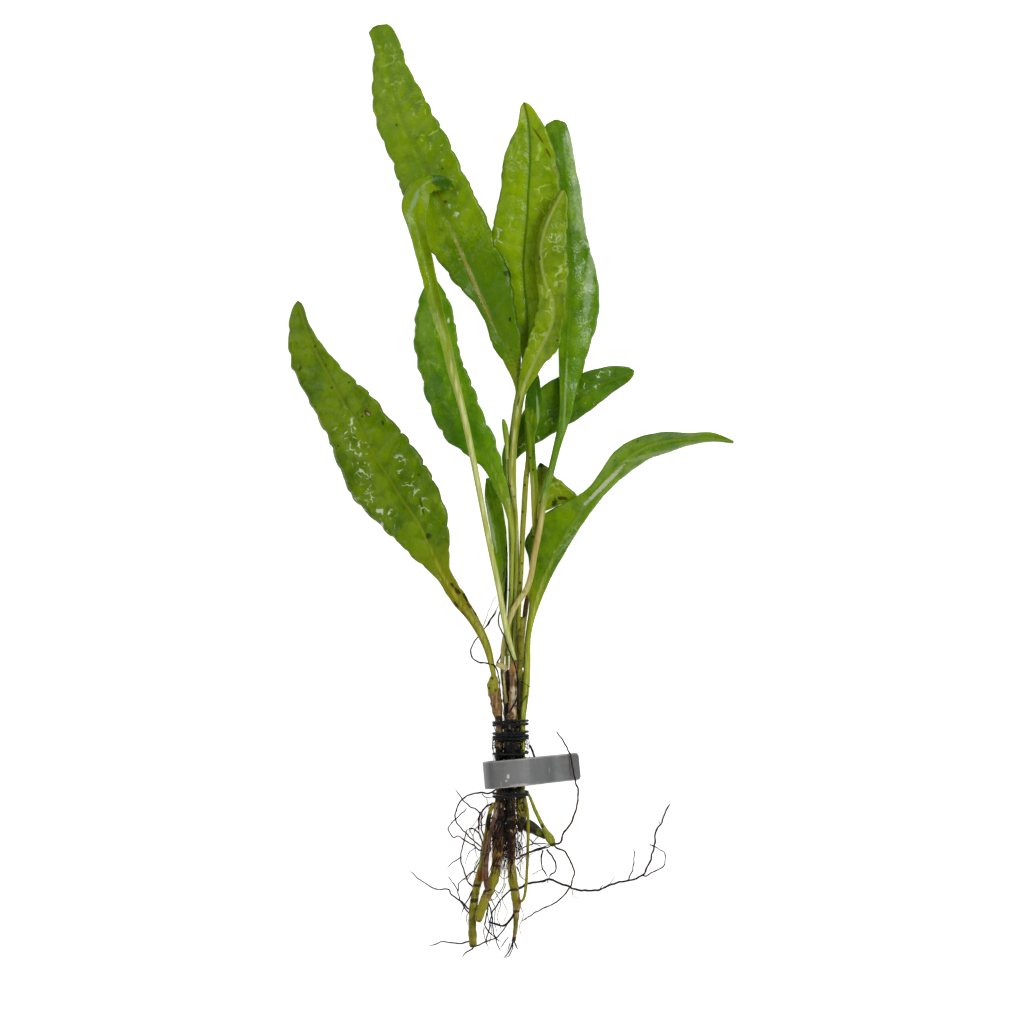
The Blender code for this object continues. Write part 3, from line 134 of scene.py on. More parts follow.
# Each leaf from its foot to its tip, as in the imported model
LEAF_ROWS: dict[str, list[LeafRow]] = {
    "leaf_left": [
        (-4.9, -49.6, 6.0, 0.7, 0.7, 0, 0),
        (-6.8, -42.2, 6.2, 1.0, 1.15, 0, 0),
        (-10.4, -35.4, 6.0, 1.15, 1.7, 0, 0),
        (-14.8, -29.2, 5.4, 1.8, 2.4, 0.1, 0.1),
        (-18.8, -22.7, 4.9, 2.1, 2.6, 0.3, 0.3),
        (-21.9, -15.8, 4.7, 5.5, 5.6, 0.2, 0.9),
        (-25.3, -8.9, 4.7, 7.8, 8.5, -0.8, 1.2),
        (-29.6, -2.6, 4.9, 9.5, 10.1, -2.0, 1.2),
        (-33.6, 3.9, 4.8, 11.1, 10.2, -3.9, 1.0),
        (-37.8, 10.3, 4.7, 9.8, 9.9, -3.9, 1.2),
        (-41.1, 17.2, 4.4, 9.2, 8.0, -3.4, 1.4),
        (-45.4, 23.4, 4.1, 8.2, 6.9, -2.6, 1.5),
        (-49.2, 30.1, 3.3, 7.7, 4.6, -2.1, 1.2),
        (-52.7, 36.9, 2.4, 7.6, 2.7, -1.5, 0.7),
        (-55.7, 43.8, 1.6, 4.9, 1.4, -0.7, 0.3),
        (-57.1, 48.4, 1.1, 2.7, 1.2, -0.3, 0.1),
        (-57.8, 51.0, 0.9, 1.0, 0.8, 0, 0),
    ],
    "leaf_tall": [
        (-0.1, -48.2, 3.4, 0.5, 0.5, 0, 0),
        (0.1, -40.6, 3.4, 0.55, 0.55, 0, 0),
        (0.5, -29.8, 3.8, 0.6, 0.6, 0, 0),
        (0.7, -19.0, 4.0, 0.6, 0.6, 0, 0),
        (0.0, -8.2, 3.8, 0.6, 0.6, 0, 0),
        (-0.4, 2.0, 4.4, 0.65, 0.65, 0, 0),
        (-0.6, 9.0, 5.2, 0.7, 0.7, 0, 0),
        (0.3, 16.1, 6.0, 0.75, 0.75, 0, 0),
        (1.3, 22.8, 6.6, 0.85, 0.85, 0, 0),
        (1.9, 27.1, 7.0, 0.9, 0.9, 0, 0),
        (0.5, 34.0, 7.4, 2.2, 2.1, 0.2, 0.1),
        (-1.8, 40.4, 7.6, 3.7, 4.5, 0.4, 0.2),
        (-4.8, 45.7, 7.6, 2.4, 6.5, 0.5, 0.2),
        (-7.2, 51.4, 7.5, 3.1, 8.0, 0.6, 0.3),
        (-9.5, 57.1, 7.3, 5.6, 9.0, 0.8, 0.3),
        (-12.0, 62.7, 7.1, 7.0, 8.3, 0.6, 0.4),
        (-14.4, 68.4, 6.8, 8.6, 8.9, 0.2, 0.5),
        (-17.4, 73.7, 6.4, 8.5, 9.3, -0.2, 0.5),
        (-20.2, 79.2, 5.9, 8.3, 9.3, -0.4, 0.6),
        (-22.4, 84.9, 5.4, 8.4, 8.8, -0.6, 1.0),
        (-25.0, 90.5, 4.9, 7.6, 8.9, -0.8, 1.4),
        (-27.9, 95.9, 4.4, 7.0, 8.7, -1.0, 1.8),
        (-30.1, 101.6, 3.8, 7.0, 8.0, -1.2, 1.8),
        (-31.8, 107.5, 3.2, 6.0, 6.8, -1.3, 1.6),
        (-33.2, 113.5, 2.3, 4.5, 5.1, -1.1, 1.2),
        (-34.6, 119.8, 1.5, 2.8, 4.6, -0.8, 0.8),
        (-37.0, 125.3, 0.7, 2.2, 3.6, -0.4, 0.5),
    ],
    "leaf_stalked": [
        (0.9, -46.0, 8.4, 0.5, 0.5, 0, 0),
        (-0.7, -40.6, 8.7, 0.78, 0.78, 0, 0),
        (-2.2, -33.6, 9.0, 0.78, 0.78, 0, 0),
        (-3.2, -27.7, 9.4, 0.78, 0.78, 0, 0),
        (-6.2, -13.4, 10.0, 0.75, 0.75, 0, 0),
        (-8.8, 0.1, 10.6, 0.8, 0.8, 0, 0),
        (-10.5, 9.0, 11.0, 0.85, 0.85, 0, 0),
        (-12.6, 19.0, 11.5, 0.9, 0.9, 0, 0),
        (-14.0, 24.7, 11.8, 1.0, 1.0, 0, 0),
        (-16.1, 32.5, 12.2, 1.3, 1.3, 0.2, 0.2),
        (-17.7, 39.8, 12.6, 1.4, 1.4, 0.4, 0.4),
        (-20.3, 48.7, 13.0, 1.9, 1.9, 0.9, 0.9),
        (-22.0, 56.6, 13.4, 2.0, 1.9, 1.2, 1.2),
        (-23.4, 62.5, 13.6, 2.2, 2.1, 1.4, 1.4),
        (-24.7, 67.4, 13.9, 2.2, 2.2, 1.4, 1.4),
        (-25.4, 71.4, 14.1, 2.7, 2.4, 1.2, 1.0),
        (-25.8, 74.9, 14.3, 3.6, 3.2, 0.6, 0.2),
        (-25.6, 78.2, 14.4, 3.6, 3.6, -0.2, -0.8),
        (-24.4, 81.4, 14.2, 2.4, 3.4, -0.6, -1.4),
        (-22.0, 82.9, 13.2, 1.7, 3.0, -0.6, -1.2),
        (-19.5, 83.0, 11.9, 1.6, 2.6, -0.4, -0.8),
        (-17.0, 82.4, 10.4, 1.2, 1.8, 0, -0.2),
        (-15.2, 81.6, 9.2, 0.6, 0.8, 0, 0),
    ],
    "leaf_inner": [
        (-0.7, -44.9, 5.0, 0.45, 0.45, 0, 0),
        (-0.7, -40.6, 5.1, 0.45, 0.45, 0, 0),
        (-0.1, -29.8, 5.8, 0.5, 0.5, 0, 0),
        (0.2, -19.0, 6.6, 0.5, 0.5, 0, 0),
        (0.3, -12.0, 6.9, 0.6, 0.7, 0, 0),
        (-1.0, -4.7, 7.0, 1.1, 1.2, 0, 0),
        (-3.1, 0.9, 7.0, 1.7, 2.1, 0, 0),
        (-5.4, 6.5, 6.8, 2.3, 3.0, 0.1, 0),
        (-8.3, 11.7, 6.5, 4.5, 4.3, 0.2, 0),
        (-11.4, 16.9, 6.2, 7.0, 4.8, 0, 0.2),
        (-14.2, 22.2, 5.9, 7.2, 5.5, -0.6, 0.4),
        (-16.4, 27.8, 5.5, 7.2, 5.7, -1.4, 0.6),
        (-18.1, 33.6, 5.0, 7.1, 4.8, -2.0, 0.8),
        (-19.3, 39.5, 4.5, 6.9, 4.8, -2.2, 0.8),
        (-20.1, 45.5, 4.0, 6.3, 4.7, -2.0, 0.8),
        (-21.1, 51.4, 3.4, 4.0, 3.8, -1.4, 0.6),
        (-21.7, 57.0, 2.8, 0.9, 1.2, -0.2, 0.1),
    ],
    "leaf_back": [
        (1.75, -48.2, 3.0, 0.5, 0.5, 0, 0),
        (1.75, -40.6, 2.8, 0.55, 0.55, 0, 0),
        (1.6, -19.0, 2.9, 0.6, 0.6, 0, 0),
        (0.8, -2.8, 2.7, 0.6, 0.6, 0, 0),
        (0.8, 10.7, 3.5, 0.65, 0.65, 0, 0),
        (2.2, 21.5, 4.2, 0.7, 0.7, 0, 0),
        (3.9, 30.5, 4.7, 0.8, 0.8, 0, 0),
        (4.2, 36.0, 4.8, 1.6, 1.4, 0, 0),
        (4.2, 41.4, 4.9, 3.5, 3.1, 0, 0.1),
        (4.2, 47.7, 4.9, 6.0, 5.3, 0, 0.2),
        (3.6, 54.1, 4.9, 7.6, 8.0, 0, 0.2),
        (3.2, 60.4, 4.9, 8.5, 9.3, 0.1, 0.2),
        (3.6, 66.8, 4.8, 9.2, 9.6, 0.2, 0.3),
        (4.2, 73.1, 4.8, 8.7, 9.4, 0.3, 0.3),
        (4.5, 79.5, 4.7, 7.6, 8.9, 0.4, 0.4),
        (4.9, 85.9, 4.7, 7.5, 7.9, 0.5, 0.4),
        (5.0, 92.3, 4.6, 6.3, 6.3, 0.5, 0.3),
        (4.6, 98.6, 4.3, 3.1, 3.8, 0.3, 0.2),
        (3.4, 104.6, 3.8, 1.0, 1.1, 0, 0),
    ],
    "leaf_sheen": [
        (-1.3, -57.6, 5.2, 0.5, 0.5, 0, 0),
        (-1.8, -54.6, 5.1, 0.55, 0.55, 0, 0),
        (-2.3, -51.0, 4.9, 0.6, 0.6, 0, 0),
        (-2.5, -46.6, 4.7, 0.6, 0.6, 0, 0),
        (-2.2, -42.5, 5.6, 0.65, 0.65, 0, 0),
        (-1.5, -38.8, 6.4, 0.7, 0.7, 0, 0),
        (-0.5, -35.2, 7.0, 0.7, 0.7, 0, 0),
        (0.8, -32.0, 7.5, 0.75, 0.75, 0, 0),
        (2.3, -29.6, 8.0, 0.8, 0.8, 0, 0),
        (4.1, -26.8, 8.2, 0.8, 0.8, 0, 0),
        (5.3, -23.0, 8.3, 0.8, 0.8, 0, 0),
        (6.1, -18.2, 8.3, 0.8, 0.8, 0, 0),
        (7.2, -12.6, 8.0, 0.8, 0.8, 0, 0),
        (8.0, -8.2, 7.7, 0.8, 0.8, 0, 0),
        (8.8, -2.3, 7.2, 0.85, 0.85, 0, 0),
        (10.2, 3.1, 6.7, 0.9, 0.9, 0, 0),
        (12.3, 11.8, 5.8, 1.0, 1.1, 0, 0),
        (13.8, 18.5, 5.2, 1.1, 1.8, 0, -0.1),
        (14.3, 25.2, 4.7, 1.3, 3.1, 0, -0.4),
        (14.7, 32.0, 4.2, 1.9, 4.5, -0.1, -0.9),
        (15.1, 38.8, 3.8, 2.5, 6.0, -0.3, -1.4),
        (15.6, 45.6, 3.5, 3.6, 7.6, -0.4, -2.2),
        (15.9, 52.4, 3.4, 5.1, 7.9, -0.5, -2.5),
        (15.8, 59.2, 3.3, 6.0, 7.0, -0.5, -2.5),
        (15.3, 66.0, 3.3, 6.1, 5.6, -0.4, -2.2),
        (14.8, 72.7, 3.2, 6.1, 4.8, -0.3, -1.6),
        (14.3, 79.5, 3.1, 5.7, 4.6, -0.3, -1.5),
        (13.6, 86.3, 3.0, 5.2, 3.9, -0.3, -1.4),
        (12.9, 93.0, 2.7, 4.2, 3.5, -0.3, -1.1),
        (12.2, 98.2, 2.3, 3.3, 2.9, -0.1, -0.6),
        (12.0, 100.0, 2.2, 2.2, 1.8, -0.1, -0.4),
    ],
    "leaf_curled": [
        (0.95, -48.2, 4.3, 0.5, 0.5, 0, 0),
        (0.95, -40.6, 4.4, 0.55, 0.55, 0, 0),
        (1.2, -29.8, 5.2, 0.6, 0.6, 0, 0),
        (1.4, -19.0, 5.6, 0.6, 0.6, 0, 0),
        (1.2, -8.2, 5.4, 0.62, 0.62, 0, 0),
        (0.6, -2.0, 5.8, 0.66, 0.66, 0, 0),
        (0.0, 3.4, 6.5, 0.68, 0.68, 0, 0),
        (0.2, 9.0, 7.2, 0.7, 0.7, 0, 0),
        (0.6, 13.1, 7.7, 0.75, 0.75, 0, 0),
        (1.4, 20.1, 8.3, 0.8, 0.8, 0, 0),
        (2.5, 25.2, 8.7, 1.0, 1.0, 0, 0),
        (4.2, 30.0, 9.1, 2.2, 1.9, 0.2, 0.3),
        (6.4, 35.0, 9.5, 3.4, 2.9, 0.2, 0.8),
        (8.8, 40.0, 9.9, 4.2, 4.2, 0, 1.2),
        (10.9, 44.9, 10.2, 4.9, 2.8, -0.4, 1.6),
        (11.2, 50.3, 10.5, 4.4, 3.6, -0.9, 1.4),
        (9.3, 55.3, 10.8, 2.6, 6.2, -1.8, 0.6),
        (8.1, 60.3, 11.0, 1.9, 6.9, -2.4, 0),
        (7.9, 65.8, 11.2, 1.2, 6.7, -2.6, -0.4),
        (9.3, 71.0, 11.2, 1.5, 5.9, -2.6, -0.6),
        (11.5, 76.0, 10.8, 1.2, 4.0, -2.0, -0.4),
        (14.0, 80.6, 10.2, 1.0, 1.2, -0.6, 0),
    ],
    "leaf_low": [
        (-1.2, -48.2, 2.6, 0.45, 0.45, 0, 0),
        (-1.2, -40.6, 2.4, 0.5, 0.5, 0, 0),
        (-0.4, -29.8, 2.3, 0.5, 0.5, 0, 0),
        (-0.2, -19.0, 2.1, 0.5, 0.5, 0, 0),
        (-0.5, -8.2, 2.0, 0.55, 0.55, 0, 0),
        (-1.2, 1.2, 1.8, 0.65, 0.65, 0, 0),
        (-1.4, 5.5, 1.6, 1.0, 0.9, 0, 0),
        (-0.2, 9.8, 1.4, 2.4, 2.4, 0.1, 0),
        (3.0, 14.2, 1.2, 3.6, 3.6, 0.3, -0.1),
        (7.0, 17.8, 0.9, 5.2, 4.6, 0.5, -0.3),
        (11.5, 21.2, 0.9, 7.0, 5.2, 0.6, -0.4),
        (16.2, 24.2, 0.9, 7.2, 5.3, 0.7, -0.5),
        (21.0, 26.8, 1.2, 5.2, 4.6, 0.9, -0.5),
        (26.0, 29.0, 1.2, 4.3, 3.2, 0.9, -0.4),
        (30.5, 30.8, 1.0, 2.9, 2.1, 0.4, -0.2),
        (33.2, 32.1, 0.8, 1.1, 0.9, 0, 0),
    ],
    "leaf_twisted": [
        (3.1, -75.0, 6.3, 0.5, 0.5, 0, 0),
        (3.1, -67.6, 6.4, 0.66, 0.66, 0, 0),
        (3.2, -61.5, 6.1, 0.7, 0.7, 0, 0),
        (3.9, -54.1, 5.4, 0.95, 0.95, 0, 0),
        (4.2, -47.4, 4.8, 0.95, 0.95, 0, 0),
        (4.4, -40.6, 4.4, 0.8, 0.8, 0, 0),
        (5.0, -36.6, 4.3, 0.9, 0.85, 0, 0),
        (5.9, -33.0, 4.3, 1.3, 1.0, 0, 0),
        (7.5, -27.9, 4.3, 2.8, 1.3, 0.1, -0.1),
        (9.7, -22.1, 4.3, 5.3, 1.7, 0.2, -0.3),
        (11.0, -19.3, 4.3, 8.0, 1.9, 0.1, -0.4),
        (12.3, -16.5, 4.3, 9.0, 2.2, 0, -0.6),
        (15.3, -11.1, 4.5, 8.2, 2.4, 0.2, -1.0),
        (18.8, -6.0, 4.9, 4.6, 2.3, 1.0, -1.4),
        (22.7, -1.1, 5.2, 2.5, 2.2, 2.0, -1.8),
        (26.5, 3.7, 5.2, 2.8, 2.8, 3.0, -2.6),
        (31.0, 8.0, 5.0, 3.9, 3.3, 3.6, -3.2),
        (36.2, 11.3, 4.7, 3.3, 3.3, 3.6, -3.4),
        (42.0, 13.1, 4.1, 2.5, 3.1, 3.0, -3.0),
        (48.1, 13.7, 3.2, 1.6, 1.8, 2.2, -2.2),
        (54.3, 13.7, 2.0, 1.7, 0.8, 1.2, -1.1),
        (60.1, 12.8, 0.5, 0.4, 0.4, 0, 0),
    ],
    "leaf_crinkled": [
        (3.0, -48.2, 2.6, 0.4, 0.4, 0, 0),
        (3.1, -40.6, 2.4, 0.45, 0.45, 0, 0),
        (4.4, -29.8, 2.2, 0.45, 0.45, 0, 0),
        (5.6, -19.0, 2.2, 0.5, 0.5, 0, 0),
        (6.4, -10.9, 2.2, 0.55, 0.55, 0, 0),
        (7.0, -6.2, 2.2, 0.7, 1.2, 0, 0),
        (7.2, -4.6, 2.2, 0.8, 4.2, 0, 0.1),
        (7.3, -3.2, 2.2, 0.8, 7.4, 0, 0.2),
        (7.4, -1.8, 2.3, 0.8, 10.0, 0, 0.3),
        (7.5, -0.2, 2.4, 0.8, 9.6, 0.1, 0.4),
        (7.6, 1.4, 2.4, 0.9, 7.4, 0.1, 0.4),
        (7.6, 3.2, 2.4, 0.9, 4.4, 0.1, 0.3),
        (7.7, 5.2, 2.2, 0.9, 3.0, 0, 0.1),
        (7.8, 7.2, 2.0, 0.6, 1.2, 0, 0),
    ],
    "leaf_narrow": [
        (-1.6, -45.0, 3.9, 0.4, 0.4, 0, 0),
        (-1.7, -38.0, 3.6, 0.45, 0.45, 0, 0),
        (-1.9, -32.5, 3.4, 0.6, 0.6, 0, 0),
        (-2.0, -29.0, 3.1, 0.9, 0.9, 0, 0),
        (-2.3, -24.4, 2.8, 1.2, 1.3, 0, 0),
        (-2.8, -19.0, 2.5, 1.6, 1.7, 0, 0),
        (-3.4, -13.6, 2.3, 1.9, 2.2, 0.2, 0.1),
        (-4.2, -6.9, 2.2, 2.3, 2.2, 0.3, 0.1),
        (-5.4, -1.5, 2.1, 1.9, 1.9, 0.3, 0.1),
        (-6.5, 3.1, 2.0, 0.5, 0.5, 0, 0),
    ],
    "frond_young": [
        (-1.15, 8.0, 7.2, 0.3, 0.3, 0, 0),
        (-1.15, 10.5, 7.3, 0.45, 0.45, 0, 0),
        (-1.4, 14.2, 7.5, 0.8, 0.75, 0.1, 0.1),
        (-1.9, 17.4, 7.6, 0.7, 0.7, 0.1, 0.1),
        (-2.3, 19.0, 7.6, 0.35, 0.35, 0, 0),
    ],
    "leaf_dark": [
        (2.0, -35.6, 6.3, 0.5, 0.5, 0, 0),
        (2.2, -29.8, 6.1, 0.55, 0.55, 0, 0),
        (2.75, -19.3, 6.4, 0.6, 0.6, 0, 0),
        (2.9, -13.4, 6.2, 0.7, 0.7, 0, 0),
        (3.4, -5.3, 5.6, 0.75, 0.75, 0, 0),
        (3.9, 2.6, 5.0, 0.75, 0.75, 0, 0),
        (4.6, 8.8, 5.0, 0.75, 0.75, 0, 0),
        (4.8, 13.4, 5.3, 1.2, 1.2, 0, 0),
        (5.4, 18.8, 5.7, 1.8, 2.0, 0.1, 0),
        (6.1, 25.5, 6.1, 2.2, 2.0, 0.1, 0),
        (6.8, 31.5, 6.3, 0.6, 0.6, 0, 0),
    ],
    "leaf_thin": [
        (3.4, -35.6, 5.4, 0.6, 0.6, 0, 0),
        (3.8, -31.7, 5.5, 0.6, 0.6, 0, 0),
        (4.6, -27.1, 5.8, 0.5, 0.5, 0, 0),
        (5.5, -20.4, 6.0, 0.45, 0.45, 0, 0),
        (6.1, -13.4, 5.9, 0.45, 0.6, 0, 0),
        (5.9, -5.3, 5.9, 0.5, 1.1, 0, 0),
        (5.7, 0.9, 6.0, 0.55, 1.5, 0, 0),
        (5.4, 6.3, 6.4, 0.65, 1.3, 0, 0),
        (5.2, 10.6, 6.8, 0.8, 1.2, 0, 0),
        (4.9, 14.7, 7.1, 0.9, 1.2, 0, 0),
        (4.2, 18.8, 7.2, 0.4, 0.4, 0, 0),
    ],
}

# Each rhizome or stem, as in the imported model
STEM_ROWS: dict[str, list[StemRow]] = {
    "rhizome_left": [
        (-4.8, -50.2, 6.0, 0.9, 0.9),
        (-4.9, -51.6, 6.0, 1.35, 1.3),
        (-4.9, -53.6, 6.1, 1.55, 1.45),
        (-4.4, -56.4, 6.0, 1.5, 1.45),
        (-4.1, -57.4, 5.9, 1.6, 1.4),
        (-3.8, -60.0, 5.8, 1.35, 1.25),
        (-3.4, -62.0, 5.7, 1.0, 1.1),
        (-3.3, -67.5, 5.6, 1.0, 1.1),
        (-3.3, -73.0, 5.6, 1.1, 1.2),
        (-3.1, -79.5, 5.5, 1.15, 1.25),
        (-3.1, -83.2, 5.2, 1.15, 1.25),
        (-3.3, -85.6, 4.9, 1.4, 1.35),
        (-3.6, -89.0, 4.7, 1.4, 1.3),
        (-3.8, -93.5, 4.2, 1.4, 1.2),
        (-3.8, -97.5, 3.8, 1.35, 1.2),
        (-4.2, -102.5, 3.5, 1.3, 1.2),
        (-5.1, -106.2, 3.3, 1.35, 1.15),
        (-6.8, -110.0, 3.15, 1.25, 1.05),
        (-8.1, -113.6, 3.2, 1.2, 1.0),
        (-9.2, -116.8, 3.3, 0.95, 0.85),
    ],
    "rhizome_fork": [
        (-5.9, -87.4, 4.6, 0.55, 0.55),
        (-6.7, -94.0, 3.6, 0.85, 0.85),
        (-7.5, -100.0, 2.6, 1.0, 1.0),
        (-8.7, -105.0, 1.9, 1.1, 1.05),
        (-9.7, -108.6, 1.5, 1.0, 1.0),
        (-10.2, -112.4, 1.35, 1.1, 1.1),
        (-10.6, -116.0, 1.25, 1.0, 1.0),
        (-10.5, -120.6, 1.25, 1.1, 1.1),
        (-10.4, -123.8, 1.15, 0.95, 0.95),
    ],
    "stem_old": [
        (-5.4, -91.2, 6.6, 0.5, 0.5),
        (-6.3, -96.0, 5.7, 0.65, 0.65),
        (-7.0, -101.4, 5.1, 0.75, 0.75),
        (-6.9, -105.5, 5.2, 0.75, 0.75),
        (-6.5, -108.2, 5.2, 0.55, 0.55),
    ],
    "rhizome_middle": [
        (0.55, -46.4, 6.8, 0.75, 0.7),
        (0.5, -48.0, 6.7, 1.0, 0.95),
        (0.4, -51.0, 6.7, 0.9, 0.9),
        (0.4, -54.5, 6.8, 1.05, 1.0),
        (0.3, -58.5, 6.8, 1.05, 1.0),
        (0.1, -61.0, 6.7, 1.3, 1.1),
        (0.0, -64.0, 6.3, 1.9, 1.35),
        (0.0, -71.0, 6.3, 2.0, 1.4),
        (-0.1, -77.0, 6.3, 1.6, 1.4),
        (-0.1, -81.5, 5.9, 1.15, 1.35),
        (-0.1, -86.0, 5.2, 1.2, 1.3),
        (-0.1, -91.0, 4.5, 1.3, 1.25),
        (-0.1, -95.5, 3.6, 1.05, 1.05),
        (-0.1, -100.0, 2.8, 1.1, 1.05),
        (0.3, -105.0, 2.2, 1.2, 1.1),
        (0.9, -108.7, 1.8, 1.15, 1.1),
        (1.4, -112.2, 1.5, 1.1, 1.05),
        (1.2, -116.0, 1.2, 0.7, 0.8),
        (1.0, -119.7, 1.05, 0.55, 0.65),
        (0.5, -122.4, 0.95, 0.5, 0.5),
    ],
    "rhizome_right": [
        (2.15, -48.7, 3.1, 1.05, 1.05),
        (2.2, -52.0, 3.1, 1.2, 1.2),
        (2.15, -60.0, 3.2, 1.2, 1.2),
        (2.2, -70.0, 3.3, 1.2, 1.2),
        (2.4, -76.0, 4.0, 1.2, 1.2),
        (2.4, -80.5, 4.8, 1.2, 1.3),
        (2.4, -83.4, 4.9, 1.2, 1.3),
        (2.7, -86.5, 4.9, 1.4, 1.3),
        (2.6, -90.4, 4.6, 1.1, 1.1),
        (2.4, -92.6, 4.3, 0.6, 0.6),
    ],
    "rhizome_back": [
        (-0.7, -48.7, 3.2, 1.05, 1.05),
        (-0.8, -52.0, 3.2, 1.2, 1.2),
        (-0.9, -60.0, 3.2, 1.2, 1.2),
        (-0.9, -70.0, 3.1, 1.2, 1.15),
        (-0.9, -80.0, 2.8, 1.1, 1.1),
        (-0.9, -86.0, 2.4, 0.8, 0.8),
    ],
    "rhizome_cross": [
        (-1.1, -48.7, 6.6, 0.7, 0.65),
        (-1.8, -48.1, 6.5, 0.8, 0.7),
        (-3.0, -47.5, 6.5, 0.75, 0.65),
        (-4.2, -47.2, 6.5, 0.6, 0.55),
    ],
    "stem_olive": [
        (2.9, -36.2, 6.0, 0.95, 0.8),
        (2.6, -39.0, 5.9, 1.05, 1.0),
        (2.4, -43.5, 5.9, 0.95, 0.95),
        (2.2, -48.0, 5.8, 0.75, 0.8),
        (2.0, -53.0, 5.7, 0.7, 0.7),
        (1.95, -59.3, 5.6, 0.5, 0.5),
    ],
    "stalk_yellow": [
        (4.0, -84.2, 6.8, 0.3, 0.3),
        (4.4, -87.5, 6.5, 0.4, 0.4),
        (4.5, -91.5, 5.1, 0.4, 0.4),
        (4.4, -97.6, 3.5, 0.4, 0.4),
        (4.2, -102.5, 2.8, 0.4, 0.4),
        (3.9, -107.3, 2.3, 0.4, 0.4),
        (3.2, -110.8, 1.9, 0.38, 0.38),
    ],
    "branch_green": [
        (4.9, -82.9, 4.6, 0.38, 0.38),
        (6.3, -86.4, 4.3, 0.5, 0.5),
        (8.0, -90.0, 3.9, 0.55, 0.55),
        (9.3, -92.4, 3.5, 0.75, 0.7),
        (10.3, -94.2, 3.1, 1.2, 1.0),
        (11.0, -95.4, 2.9, 0.95, 0.9),
        (11.4, -96.4, 2.8, 0.6, 0.6),
    ],
    "branch_woody": [
        (2.5, -90.5, 1.9, 0.9, 0.8),
        (4.4, -90.9, 2.2, 1.75, 1.2),
        (6.0, -91.7, 2.1, 1.5, 1.1),
        (7.2, -92.6, 1.8, 1.2, 0.9),
        (7.9, -93.1, 1.7, 0.9, 0.8),
    ],
}

